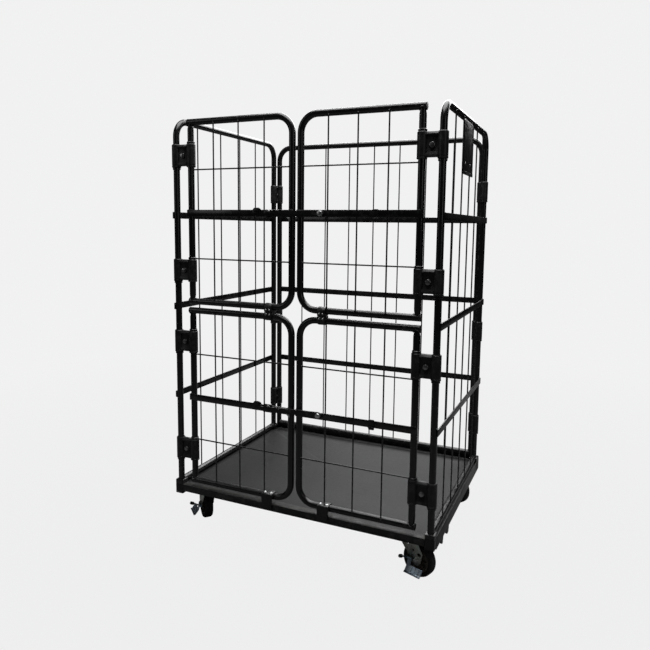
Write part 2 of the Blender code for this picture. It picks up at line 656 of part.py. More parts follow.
# ---- assembly ----------------------------------------------------------------------------------
def build():
    for obj in list(bpy.data.objects):
        bpy.data.objects.remove(obj)

    gloss_black = make_material("gloss_black_tube", (0.010, 0.010, 0.011), 0.28, 0.0)
    base_black = make_material("base_black", (0.012, 0.012, 0.013), 0.38, 0.0)
    deck_grey = make_material("deck_grey", (0.085, 0.085, 0.088), 0.62, 0.0)
    clamp_black = make_material("clamp_black", (0.011, 0.011, 0.012), 0.42, 0.0)
    holder_black = make_material("holder_black", (0.014, 0.014, 0.015), 0.40, 0.0)
    latch_black = make_material("latch_black", (0.015, 0.015, 0.016), 0.36, 0.0)
    zinc = make_material("zinc_plate", (0.42, 0.46, 0.44), 0.36, 0.9)
    bright_zinc = make_material("bright_zinc", (0.62, 0.63, 0.62), 0.28, 1.0)
    blue_zinc = make_material("blue_zinc", (0.30, 0.38, 0.46), 0.34, 0.9)
    tyre_black = make_material("tyre_black", (0.018, 0.018, 0.018), 0.62, 0.0)
    hub_brown = make_material("hub_grey_brown", (0.13, 0.115, 0.10), 0.55, 0.0)

    base_frame(base_black)
    deck_panel(deck_grey)
    side_panel("left_side_panel", -1, gloss_black)
    side_panel("right_side_panel", 1, gloss_black)
    back_panel(gloss_black)
    card_holder(holder_black)

    for side, side_name in ((-1, "left"), (1, "right")):
        for z, place in zip(REAR_CLAMP_Z, ("bottom", "middle", "top")):
            rear_clamp(f"rear_clamp_{side_name}_{place}", side, z, clamp_black)
        for level in ("lower", "upper"):
            door(f"door_{level}_{side_name}", side, level, gloss_black)
            for z, place in zip(CLAMP_Z[level], ("bottom", "top")):
                hinge_clamp(f"hinge_clamp_{level}_{side_name}_{place}", side, z, clamp_black)
            spacer_block(f"spacer_block_{level}_{side_name}", side, level, clamp_black)
        sill_tab(f"sill_tab_{side_name}", SILL_TAB_X[side_name], clamp_black)

    for level, park_rise in (("lower", -0.025), ("upper", 0.015)):
        latch_bar(f"latch_bar_{level}", level, latch_black)
        latch_pivot(f"latch_pivot_{level}", level, bright_zinc)
        latch_seat(f"latch_catch_{level}", CATCH_X, CATCH_HALF, level, 0.013, latch_black)
        latch_seat(f"latch_park_hook_{level}", HOOK_X, HOOK_HALF, level, park_rise, latch_black)

    for place, turn in CASTER_TURN.items():
        end, side = place.split("_")
        x = CASTER_X if side == "right" else -CASTER_X
        y = FRONT + CASTER_INSET if end == "front" else REAR - CASTER_INSET
        swivel = bpy.data.objects.new(f"swivel_{place}", None)
        swivel.location = (x, y, 0)
        swivel.rotation_euler = (0, 0, math.radians(turn))
        bpy.context.scene.collection.objects.link(swivel)
        caster_plate(f"caster_plate_{place}", x, y, zinc)
        caster_fork(f"caster_fork_{place}", swivel, zinc)
        turned_on_axle(f"caster_tyre_{place}", TYRE_PROFILE, swivel, tyre_black)
        turned_on_axle(f"caster_hub_{place}", HUB_PROFILE, swivel, hub_brown)
        caster_axle(f"caster_axle_{place}", swivel, bright_zinc)
        if end == "front":
            brake_pedal(f"brake_pedal_{place}", swivel, 1 if side == "left" else -1, blue_zinc)


build()
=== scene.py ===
"""Looks of the roll cage container: smooth tubes, welds, moulded clamps, latches and casters."""
import json
import math

import bmesh
import bpy
from mathutils import Matrix, Vector

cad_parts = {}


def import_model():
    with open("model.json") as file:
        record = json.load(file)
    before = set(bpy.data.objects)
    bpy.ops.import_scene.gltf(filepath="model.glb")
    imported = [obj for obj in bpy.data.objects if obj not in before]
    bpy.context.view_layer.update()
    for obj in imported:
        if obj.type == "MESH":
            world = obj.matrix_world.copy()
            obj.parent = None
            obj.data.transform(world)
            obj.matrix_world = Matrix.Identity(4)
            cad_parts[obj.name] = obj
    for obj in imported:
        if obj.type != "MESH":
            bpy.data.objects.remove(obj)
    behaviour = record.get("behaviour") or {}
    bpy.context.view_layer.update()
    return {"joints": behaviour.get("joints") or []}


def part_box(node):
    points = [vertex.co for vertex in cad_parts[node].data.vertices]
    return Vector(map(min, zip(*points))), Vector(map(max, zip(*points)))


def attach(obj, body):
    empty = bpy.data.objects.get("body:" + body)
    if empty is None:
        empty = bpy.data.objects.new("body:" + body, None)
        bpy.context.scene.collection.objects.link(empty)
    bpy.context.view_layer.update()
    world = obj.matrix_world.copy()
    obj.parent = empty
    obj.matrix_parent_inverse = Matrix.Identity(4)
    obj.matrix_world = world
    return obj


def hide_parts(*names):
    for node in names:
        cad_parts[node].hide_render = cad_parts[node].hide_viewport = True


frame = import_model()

# ---- places, read from the frame ----
JOINTS = {joint["name"]: joint for joint in frame["joints"]}
SIDES = ((-1, "left"), (1, "right"))
LEVELS = ("lower", "upper")


def joint_at(name):
    """Anchor of a CAD joint."""
    return Vector(JOINTS[name]["pos_m"])


def middle_of(node):
    """Middle of a CAD node's box."""
    low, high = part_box(node)
    return (low + high) / 2


TUBE_R = 0.0125
CAD_FLAT = TUBE_R * math.cos(math.pi / 12)  # from the axis to the flats of the CAD's twelve-sided tubes
WIRE_R = 0.0028
BEND_R = 0.065
FLAT_T = 0.004  # the flat bars
FLAT_H = 0.026

POST_X = joint_at("post_hinge_lower_right").x
HINGE_X = joint_at("door_hinge_lower_right").x
FRONT = joint_at("post_hinge_lower_right").y
BACK_SET = 0.026  # the back panel lies this far behind the rear posts
REAR = middle_of("rear_clamp_right_top").y - BACK_SET / 2
BACK_Y = REAR + BACK_SET
BACK_X = 2 * middle_of("rear_clamp_right_top").x - POST_X
SOCKET_HALF = 0.018
SOCKET_TOP = 0.1771
COLLAR_TOP = 0.1945
SIDE_RAIL_Z = 0.19
SIDE_TOP_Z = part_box("left_side_panel")[1].z - CAD_FLAT
BACK_TOP_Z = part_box("back_panel")[1].z - CAD_FLAT
BACK_RAIL_Z = 0.2025
BACK_FOOT_Z = 0.196
DOOR_Z = {}
for level in LEVELS:
    low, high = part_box(f"door_{level}_right")
    DOOR_Z[level] = (low.z + CAD_FLAT, high.z - CAD_FLAT)
STILE_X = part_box("door_lower_right")[0].x + CAD_FLAT
RAIL_END_X = HINGE_X + 0.0122
RING_GAP = 0.0003  # between a stop ring and its clamp
CROSS_BARS = (0.56, 0.9275, 1.295)  # heights of the panels' flat bars
# Places of the side panels' wires, from the middle between the posts.
SIDE_WIRES = {"left": (-0.237, -0.07, 0.084, 0.222), "right": (-0.2583, -0.1292, 0.0, 0.1292, 0.2583)}
DOOR_CROSS_WIRES = {"lower": (0.25, 0.75), "upper": (0.245, 0.74)}  # as parts of the door's height
BACK_WIRES = 7
MIDDLE_Y = (FRONT + REAR) / 2
DOOR_FACE = FRONT - TUBE_R - FLAT_T


# ---- mesh tools ----
def arc(start, end, steps):
    """Cosine and sine at equal steps between two angles in degrees."""
    angles = [math.radians(start + (end - start) * i / steps) for i in range(steps + 1)]
    return [(math.cos(angle), math.sin(angle)) for angle in angles]


def turns(count):
    """Cosine and sine of equal turns round a circle."""
    return arc(0, 360, count)[:-1]


def rectangle(x_low, y_low, x_high, y_high):
    """The four corners, in order."""
    return (x_low, y_low), (x_high, y_low), (x_high, y_high), (x_low, y_high)


def skin(rings, closed=False):
    """Bridges equal rings of points. Open ends get a cap."""
    bm = bmesh.new()
    loops = [[bm.verts.new(point) for point in ring] for ring in rings]
    pairs = list(zip(loops, loops[1:]))
    if closed:
        pairs.append((loops[-1], loops[0]))
    for a, b in pairs:
        count = len(a)
        for i in range(count):
            bm.faces.new((a[i], a[(i + 1) % count], b[(i + 1) % count], b[i]))
    if not closed:
        bm.faces.new(loops[0][::-1])
        bm.faces.new(loops[-1])
    bmesh.ops.recalc_face_normals(bm, faces=bm.faces)
    return bm


def tube(path, radius, sides, closed=False, upright=None):
    """A round bar along a path. The radius is one number or a list with one for each point."""
    points = [Vector(point) for point in path]
    count = len(points)
    radii = radius if isinstance(radius, list) else [radius] * count
    rings = []
    side = None
    for i, point in enumerate(points):
        before = points[i - 1] if i or closed else point
        after = points[(i + 1) % count] if i + 1 < count or closed else point
        along = ((point - before).normalized() + (after - point).normalized()).normalized()
        if upright is not None:
            side = upright.cross(along).normalized()
        elif side is None:
            side = along.orthogonal().normalized()
        side = (side - along * side.dot(along)).normalized()
        other = along.cross(side)
        rings.append([point + radii[i] * (cos * side + sin * other) for cos, sin in turns(sides)])
    return skin(rings, closed)


def rounded_path(corners, radius):
    """A polyline whose inner corners are arcs."""
    steps = 12
    corners = [Vector(corner) for corner in corners]
    path = [corners[0]]
    for before, corner, after in zip(corners, corners[1:], corners[2:]):
        into = (corner - before).normalized()
        out = (after - corner).normalized()
        half = into.angle(out) / 2
        center = corner + (out - into).normalized() * (radius / math.cos(half))
        first = corner - into * radius * math.tan(half) - center
        axis = into.cross(out).normalized()
        for i in range(steps + 1):
            path.append(center + Matrix.Rotation(2 * half * i / steps, 3, axis) @ first)
    path.append(corners[-1])
    return path


def lathe(profile, steps, closed=False):
    """Spins (radius, height) points about Z. An open profile starts and ends on the axis."""
    on_axis = 0.00002
    rings = []
    for radius, height in profile:
        reach = max(radius, on_axis)
        rings.append([Vector((reach * cos, reach * sin, height)) for cos, sin in turns(steps)])
    return skin(rings, closed)


def soften(bm, width):
    """Rounds the edges where faces meet at more than 35 degrees."""
    edges = [e for e in bm.edges if len(e.link_faces) == 2 and e.calc_face_angle(0) > math.radians(35)]
    bmesh.ops.bevel(bm, geom=edges, offset=width, segments=2, profile=0.5, affect="EDGES", clamp_overlap=True)
    return bm


def block(low, high, edge):
    """A block between two corners, with rounded edges."""
    low, high = [Vector(p) for p in zip(*(sorted(pair) for pair in zip(low, high)))]
    bm = bmesh.new()
    bmesh.ops.create_cube(bm, size=1.0)
    bmesh.ops.scale(bm, vec=high - low, verts=bm.verts)
    bmesh.ops.translate(bm, vec=(low + high) / 2, verts=bm.verts)
    return soften(bm, edge)


def plate(outline, low, high, axis="z", edge=0.0006):
    """An outline in the other two coordinates, extruded between two heights along an axis."""
    def place(a, b, c):
        return Vector({"x": (c, a, b), "y": (a, c, b), "z": (a, b, c)}[axis])
    bm = skin([[place(a, b, c) for a, b in outline] for c in (low, high)])
    return soften(bm, edge) if edge else bm


def rounded(corners, radius, steps=5):
    """A closed outline whose corners are curves. The radius is one number or one for each corner."""
    radii = radius if isinstance(radius, (list, tuple)) else [radius] * len(corners)
    outline = []
    for i, corner in enumerate(corners):
        point = Vector(corner)
        into = (point - Vector(corners[i - 1])).normalized()
        out = (Vector(corners[(i + 1) % len(corners)]) - point).normalized()
        half = into.angle(out) / 2
        setback = radii[i] * math.tan(half)
        start = point - into * setback
        end = point + out * setback
        for k in range(steps + 1):
            t = k / steps
            outline.append(tuple((1 - t) ** 2 * start + 2 * t * (1 - t) * point + t ** 2 * end))
    return outline


def moved(bm, matrix):
    bmesh.ops.transform(bm, matrix=matrix, verts=bm.verts)
    return bm


def all_moved(parts, matrix):
    return [moved(part, matrix) for part in parts]


def at(x, y, z):
    return Matrix.Translation((x, y, z))


def facing(direction):
    """Turns local Z to the given direction."""
    return Vector((0, 0, 1)).rotation_difference(Vector(direction)).to_matrix().to_4x4()


TO_FRONT = facing((0, -1, 0))
POINT_UP = Matrix.Rotation(math.pi / 6, 4, "Z")  # turns a hexagon so that a corner is on top


def merged(parts):
    """One mesh from several, which are used up."""
    whole = bmesh.new()
    for part in parts:
        mesh = bpy.data.meshes.new("part")
        part.to_mesh(mesh)
        part.free()
        whole.from_mesh(mesh)
        bpy.data.meshes.remove(mesh)
    return whole


def linked(name, data):
    """A new object in the scene."""
    obj = bpy.data.objects.new(name, data)
    bpy.context.scene.collection.objects.link(obj)
    return obj


def mesh_object(name, bm):
    """A new object that holds a mesh, which is used up."""
    mesh = bpy.data.meshes.new(name)
    bm.to_mesh(mesh)
    bm.free()
    return linked(name, mesh)


def cut(bm, cutters):
    """Takes cutters out of a closed mesh."""
    body = mesh_object("cut", bm)
    tools = [mesh_object("cutter", cutter) for cutter in cutters]
    for tool in tools:
        step = body.modifiers.new("cut", "BOOLEAN")
        step.operation = "DIFFERENCE"
        step.solver = "EXACT"
        step.object = tool
    graph = bpy.context.evaluated_depsgraph_get()
    result = bmesh.new()
    result.from_mesh(body.evaluated_get(graph).to_mesh())
    for obj in (body, *tools):
        bpy.data.objects.remove(obj)
    return result


def piece(name, parts, material, body, nodes=()):
    """Makes one visible piece that rides on a CAD body and stands for the named CAD nodes."""
    obj = mesh_object(name, merged(parts))
    obj.data.shade_smooth()
    obj.data.set_sharp_from_angle(angle=math.radians(32))
    obj.data.materials.append(material)
    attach(obj, body)
    if nodes:
        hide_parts(*nodes)


def stand_in(node, parts, material, body):
    """The piece that is shown in the place of one CAD node."""
    piece(f"{node}_fine", parts, material, body, [node])


# ---- materials ----
def new_node(tree, kind, **inputs):
    """A new node, with its inputs set to values or linked to other nodes' outputs."""
    node = tree.nodes.new(f"ShaderNode{kind}")
    for name, value in inputs.items():
        if isinstance(value, bpy.types.NodeSocket):
            tree.links.new(value, node.inputs[name])
        else:
            node.inputs[name].default_value = value
    return node


def ramp(tree, source, stops):
    """A colour ramp from (position, grey value) stops."""
    node = new_node(tree, "ValToRGB", Fac=source)
    elements = node.color_ramp.elements
    while len(elements) < len(stops):
        elements.new(0.5)
    for element, (position, value) in zip(elements, stops):
        element.position = position
        element.color = (value, value, value, 1)
    return node.outputs["Color"]


def noise(tree, place, scale, detail=3.0, roughness=0.55):
    node = new_node(tree, "TexNoise", Scale=scale, Detail=detail, Roughness=roughness, Vector=place)
    return node.outputs["Fac"]


def stretched(tree, place, scale):
    """Coordinates scaled by a different number on each axis."""
    return new_node(tree, "Mapping", Scale=scale, Vector=place).outputs["Vector"]


def tint(tree, factor, first, second):
    """Mixes two colours, each a colour or a socket, by a factor socket."""
    node = tree.nodes.new("ShaderNodeMix")
    node.data_type = "RGBA"
    tree.links.new(factor, node.inputs["Factor"])
    for socket, value in (("A", first), ("B", second)):
        target = next(s for s in node.inputs if s.name == socket and s.type == "RGBA")
        if isinstance(value, tuple):
            target.default_value = (*value, 1)
        else:
            tree.links.new(value, target)
    return next(s for s in node.outputs if s.type == "RGBA")


def math_node(tree, operation, a, b):
    """One sum on two values, each a number or a socket."""
    node = tree.nodes.new("ShaderNodeMath")
    node.operation = operation
    for i, value in enumerate((a, b)):
        if isinstance(value, (int, float)):
            node.inputs[i].default_value = value
        else:
            tree.links.new(value, node.inputs[i])
    return node.outputs["Value"]


def finish(tree, shader, base, rough, layers):
    """Links colour and roughness, and stacks (height socket, strength, distance) layers on the normal."""
    tree.links.new(base, shader.inputs["Base Color"])
    tree.links.new(rough, shader.inputs["Roughness"])
    normal = None
    for height, strength, distance in layers:
        node = new_node(tree, "Bump", Strength=strength, Distance=distance, Height=height)
        if normal:
            tree.links.new(normal, node.inputs["Normal"])
        normal = node.outputs["Normal"]
    tree.links.new(normal, shader.inputs["Normal"])


def start_material(name, metallic=0.0, specular=0.5):
    """A new material: itself, its tree, its shader and the object's own coordinates."""
    material = bpy.data.materials.new(name)
    material.use_nodes = True
    tree = material.node_tree
    shader = tree.nodes["Principled BSDF"]
    shader.inputs["Metallic"].default_value = metallic
    shader.inputs["Specular IOR Level"].default_value = specular
    return material, tree, shader, new_node(tree, "TexCoord").outputs["Object"]


def edge_mask(tree, place, low, high):
    """White on worn outer edges, broken up by noise."""
    sharp = ramp(tree, new_node(tree, "NewGeometry").outputs["Pointiness"], ((low, 0), (high, 1)))
    patches = ramp(tree, noise(tree, place, 55, 4), ((0.5, 0), (0.62, 1)))
    return math_node(tree, "MULTIPLY", sharp, patches)


def dust_mask(tree, place, amount):
    """Thin dust on faces that look up."""
    split = new_node(tree, "SeparateXYZ", Vector=new_node(tree, "NewGeometry").outputs["Normal"])
    upward = ramp(tree, split.outputs["Z"], ((0.55, 0), (1.0, amount)))
    patches = ramp(tree, noise(tree, place, 18, 5, 0.65), ((0.3, 0.25), (0.75, 1)))
    return math_node(tree, "MULTIPLY", upward, patches)


def powder_coat(name, color, worn, dusty, gloss, peel=0.1, dust=0.2, specular=0.32):
    """Black powder coat: orange peel, faint rubbed patches, dull chips on edges, thin dust on top."""
    material, tree, shader, place = start_material(name, specular=specular)
    rubbed = noise(tree, place, 9, 4, 0.6)
    speckle = noise(tree, place, 420, 2)
    base = tint(tree, ramp(tree, rubbed, ((0.35, 0), (0.75, 1))), color, tuple(c * 1.5 for c in color))
    base = tint(tree, edge_mask(tree, place, 0.545, 0.6), base, worn)
    base = tint(tree, dust_mask(tree, place, dust), base, dusty)
    rough = ramp(tree, rubbed, ((0.3, gloss), (0.55, gloss + 0.04), (0.8, gloss + 0.16)))
    rough = math_node(tree, "ADD", rough, dust_mask(tree, place, dust))
    finish(tree, shader, base, rough, ((speckle, peel, 0.0004), (noise(tree, place, 60, 2), 0.05, 0.001)))
    return material


def moulded(name, color, gloss):
    """Moulded nylon: fine spark-eroded grain, slightly glossier where it is handled."""
    material, tree, shader, place = start_material(name, specular=0.35)
    worn = noise(tree, place, 26, 4, 0.6)
    base = tint(tree, ramp(tree, worn, ((0.35, 0), (0.8, 1))), color, tuple(c * 1.8 for c in color))
    base = tint(tree, edge_mask(tree, place, 0.54, 0.6), base, (0.05, 0.05, 0.05))
    rough = ramp(tree, worn, ((0.25, gloss), (0.8, gloss + 0.16)))
    finish(tree, shader, base, rough, ((noise(tree, place, 1500, 3, 0.7), 0.16, 0.0004), (worn, 0.05, 0.001)))
    return material


def plated(name, color, second, gloss):
    """Zinc plate: cloudy passivation tints, fine drawn streaks and small dull spots."""
    material, tree, shader, place = start_material(name, metallic=1.0)
    clouds = noise(tree, place, 34, 4, 0.6)
    fine = noise(tree, stretched(tree, place, (60, 60, 600)), 1, 4, 0.6)
    base = tint(tree, ramp(tree, clouds, ((0.35, 0), (0.65, 1))), color, second)
    spots = ramp(tree, noise(tree, place, 230, 3, 0.6), ((0.62, 0), (0.7, 0.6)))
    base = tint(tree, spots, base, tuple(c * 0.45 for c in color))
    rough = ramp(tree, fine, ((0.25, gloss), (0.75, gloss + 0.18)))
    rough = math_node(tree, "ADD", rough, math_node(tree, "MULTIPLY", spots, 0.3))
    finish(tree, shader, base, rough, ((fine, 0.12, 0.0003), (clouds, 0.08, 0.0008)))
    return material


def rubber(name, color, dusty, gloss):
    """Wheel rubber and hub plastic: matt, with brownish dust that stays in the hollows."""
    material, tree, shader, place = start_material(name, specular=0.3)
    patches = ramp(tree, noise(tree, place, 48, 5, 0.65), ((0.4, 0), (0.72, 1)))
    hollows = ramp(tree, new_node(tree, "NewGeometry").outputs["Pointiness"], ((0.42, 1), (0.5, 0.25)))
    base = tint(tree, math_node(tree, "MULTIPLY", patches, hollows), color, dusty)
    rough = ramp(tree, patches, ((0.0, gloss), (1.0, gloss + 0.18)))
    grain = noise(tree, place, 900, 3, 0.6)
    finish(tree, shader, base, rough, ((grain, 0.22, 0.0004), (noise(tree, place, 120, 3), 0.1, 0.0008)))
    return material


def deck_coating():
    """Charcoal deck coating: mottled, with long faint slide marks and a few lighter scuffs."""
    material, tree, shader, place = start_material("deck_charcoal", specular=0.28)
    mottle = noise(tree, place, 70, 5, 0.7)
    cloud = noise(tree, place, 3.2, 3, 0.5)
    slides = noise(tree, stretched(tree, place, (5, 150, 5)), 1, 4, 0.6)
    cross = noise(tree, stretched(tree, place, (190, 6, 6)), 1, 4, 0.6)
    base = tint(tree, ramp(tree, mottle, ((0.3, 0), (0.72, 1))), (0.0135, 0.0135, 0.0139),
                (0.0218, 0.0218, 0.0225))
    base = tint(tree, ramp(tree, cloud, ((0.35, 0), (0.7, 0.55))), base, (0.027, 0.027, 0.0278))
    marks = math_node(tree, "MAXIMUM", ramp(tree, slides, ((0.66, 0), (0.74, 0.5))),
                      ramp(tree, cross, ((0.68, 0), (0.76, 0.4))))
    base = tint(tree, marks, base, (0.0435, 0.0435, 0.045))
    rough = ramp(tree, mottle, ((0.25, 0.52), (0.75, 0.68)))
    rough = math_node(tree, "SUBTRACT", rough, math_node(tree, "MULTIPLY", marks, 0.12))
    finish(tree, shader, base, rough, ((noise(tree, place, 800, 3, 0.6), 0.2, 0.0005), (mottle, 0.1, 0.001)))
    return material


tube_black = powder_coat(
    "tube_black", (0.0045, 0.0045, 0.005), (0.03, 0.03, 0.03), (0.07, 0.068, 0.064), 0.2, specular=0.52)
base_black = powder_coat(
    "base_black", (0.0065, 0.0065, 0.007), (0.05, 0.048, 0.045), (0.08, 0.078, 0.072), 0.3, 0.14, 0.35)
sheet_black = powder_coat(
    "sheet_black", (0.008, 0.008, 0.0085), (0.05, 0.05, 0.05), (0.07, 0.07, 0.066), 0.3)
latch_black = powder_coat(
    "latch_black", (0.0075, 0.0075, 0.008), (0.12, 0.12, 0.115), (0.07, 0.07, 0.066), 0.26)
clamp_black = moulded("clamp_black", (0.008, 0.008, 0.0085), 0.34)
dull_zinc = plated("dull_zinc", (0.34, 0.34, 0.34), (0.24, 0.24, 0.245), 0.22)
grip_black = moulded("grip_black", (0.007, 0.007, 0.0075), 0.42)
deck_grey = deck_coating()
zinc = plated("zinc_green_grey", (0.4, 0.45, 0.42), (0.52, 0.52, 0.46), 0.3)
bright_zinc = plated("zinc_bright", (0.66, 0.67, 0.66), (0.56, 0.57, 0.57), 0.22)
blue_zinc = plated("zinc_blue", (0.3, 0.4, 0.5), (0.42, 0.46, 0.5), 0.28)
tyre_black = rubber("tyre_black", (0.012, 0.012, 0.012), (0.055, 0.047, 0.04), 0.58)
hub_brown = rubber("hub_brown", (0.085, 0.074, 0.064), (0.15, 0.13, 0.11), 0.46)


# ---- welds and small fasteners ----
def bead_radii(count, size, seed):
    """Radii along a weld bead, uneven as a hand-laid one is."""
    waves = [0.16 * math.sin(2.9 * i + seed) + 0.1 * math.sin(1.3 * i + 2 * seed) for i in range(count)]
    return [size * (1 + wave) for wave in waves]


def saddle_weld(center, main_axis, branch, seed, size=0.0019):
    """Bead where a tube meets another tube of the same size at a right angle."""
    branch = Vector(branch)
    main_axis = Vector(main_axis)
    across = branch.cross(main_axis)
    path = []
    for cos, sin in turns(40):
        rise = math.sqrt(1 - (0.97 * sin) ** 2)
        path.append(Vector(center) + TUBE_R * (branch * rise + main_axis * cos + across * sin))
    return tube(path, bead_radii(len(path), size, seed), 8, closed=True, upright=branch)


def wire_weld(center, axis, seed):
    """Small bead round a wire's end."""
    matrix = at(*center) @ facing(axis)
    path = [matrix @ Vector((WIRE_R * cos, WIRE_R * sin, 0)) for cos, sin in turns(14)]
    return tube(path, bead_radii(len(path), 0.0013, seed), 6, closed=True, upright=Vector(axis))


def bar_welds(center, outward, along, seed):
    """Short beads over and under a flat bar, in the corners between its edges and a tube's side."""
    outward = Vector(outward)
    along = Vector(along)
    half = 0.0085
    steps = 8
    beads = []
    for up in (-1, 1):
        edge = Vector(center) + Vector((0, 0, up * (FLAT_H / 2 + 0.0004)))
        path = []
        for i in range(steps + 1):
            step = -half + 2 * half * i / steps
            path.append(edge + along * step + outward * math.sqrt(TUBE_R ** 2 - step ** 2))
        beads.append(tube(path, bead_radii(len(path), 0.0015, seed + up), 8))
    return beads


def line_weld(start, end, seed, size=0.0018):
    """Long straight bead with an uneven surface."""
    start = Vector(start)
    end = Vector(end)
    count = int((end - start).length / 0.0022)
    path = [start.lerp(end, i / count) for i in range(count + 1)]
    return tube(path, bead_radii(len(path), size, seed), 8)


def hex_bolt(flats, height, washer=0.0):
    """Hexagon head standing on Z = 0, on a washer if its radius is given."""
    parts = []
    base = 0.0
    if washer:
        base = 0.0012
        disc = ((0, 0), (washer, 0), (washer, base - 0.0003), (washer - 0.0004, base), (0, base))
        parts.append(lathe(disc, 28))
    corner = flats / math.sqrt(3)
    outline = [(corner * cos, corner * sin) for cos, sin in turns(6)]
    parts.append(plate(outline, base, base + height, edge=height * 0.14))
    return merged(parts)


def dome_head(radius, height):
    """Low round rivet or screw head, standing on Z = 0."""
    dome = [(radius * cos, height * sin) for cos, sin in arc(0, 90, 6)]
    return lathe(((0, 0), *dome), 24)


# ---- cage panels ----
RING_R = 0.0155
RING_H = 0.008
RING_BORE = TUBE_R - 0.0005
RING_PROFILE = ((RING_BORE, 0), (RING_R - 0.0012, 0), (RING_R, 0.0012), (RING_R, RING_H - 0.0014),
                (RING_R - 0.0014, RING_H), (RING_BORE, RING_H))
BAR_SINK = 0.0003  # a flat bar starts this far inside the tube's surface
BAR_OVERHANG = 0.01  # and runs this far past the outer tubes' axes
BAR_EDGE = 0.0009
SOCKET_OUTLINE = rounded(rectangle(-SOCKET_HALF, -SOCKET_HALF, SOCKET_HALF, SOCKET_HALF), 0.0045)


def stop_ring(x, y, z):
    """Ring welded on a tube, on which a clamp rests or which rests on a clamp."""
    return moved(lathe(RING_PROFILE, 32, closed=True), at(x, y, z))


def upright_wire(x, y, low, high, low_seed, high_seed):
    """A wire between the axes of two rails, with a weld bead on each rail."""
    drop = math.sqrt(TUBE_R ** 2 - (TUBE_R - WIRE_R) ** 2)
    return [tube(((x, y, low), (x, y, high)), WIRE_R, 12),
            wire_weld((x, y, low + drop), (0, 0, 1), low_seed),
            wire_weld((x, y, high - drop), (0, 0, 1), high_seed)]


def hoop(first, second, foot, rail, top, seed):
    """A bent tube on two feet given as (x, y), with a bottom rail welded between them."""
    corners = ((*first, foot), (*first, top), (*second, top), (*second, foot))
    ends = [Vector((*first, rail)), Vector((*second, rail))]
    along = (ends[1] - ends[0]).normalized()
    return [tube(rounded_path(corners, BEND_R), TUBE_R, 28),
            tube(ends, TUBE_R, 28),
            saddle_weld(ends[0], (0, 0, 1), along, seed),
            saddle_weld(ends[1], (0, 0, 1), -along, seed + 1)]


def side_panel(side, name):
    node = f"{name}_side_panel"
    x = side * POST_X
    parts = hoop((x, FRONT), (x, REAR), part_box(node)[0].z, SIDE_RAIL_Z, SIDE_TOP_Z, 1)
    wire_x = x + side * (TUBE_R - WIRE_R)
    for i, offset in enumerate(SIDE_WIRES[name]):
        parts += upright_wire(wire_x, MIDDLE_Y + offset, SIDE_RAIL_Z, SIDE_TOP_Z, i, i + 5)
    for z in CROSS_BARS:
        parts.append(block((x + side * (TUBE_R - BAR_SINK), FRONT - BAR_OVERHANG, z - FLAT_H / 2),
                           (x + side * (TUBE_R + FLAT_T), REAR + BAR_OVERHANG, z + FLAT_H / 2), BAR_EDGE))
        for y in (FRONT, REAR):
            parts += bar_welds((x, y, z), (side, 0, 0), (0, 1, 0), z + y)
    for y in (FRONT, REAR):
        parts.append(moved(plate(SOCKET_OUTLINE, SOCKET_TOP + 0.0003, COLLAR_TOP, "z", 0.0012), at(x, y, 0)))
    for level in LEVELS:
        for place in ("bottom", "top"):
            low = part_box(f"hinge_clamp_{level}_{name}_{place}")[0].z
            parts.append(stop_ring(x, FRONT, low - RING_GAP - RING_H))
    stand_in(node, parts, tube_black, "root")


def back_panel():
    parts = hoop((-BACK_X, BACK_Y), (BACK_X, BACK_Y), BACK_FOOT_Z, BACK_RAIL_Z, BACK_TOP_Z, 3)
    for i in range(BACK_WIRES):
        x = -BACK_X + 2 * BACK_X * (i + 1) / (BACK_WIRES + 1)
        parts += upright_wire(x, BACK_Y + TUBE_R - WIRE_R, BACK_RAIL_Z, BACK_TOP_Z, i, i + 3)
    for z in CROSS_BARS:
        parts.append(block((-BACK_X - BAR_OVERHANG, BACK_Y + TUBE_R - BAR_SINK, z - FLAT_H / 2),
                           (BACK_X + BAR_OVERHANG, BACK_Y + TUBE_R + FLAT_T, z + FLAT_H / 2), BAR_EDGE))
        for x in (-BACK_X, BACK_X):
            parts += bar_welds((x, BACK_Y, z), (0, 1, 0), (1, 0, 0), z + x)
    stand_in("back_panel", parts, tube_black, "root")


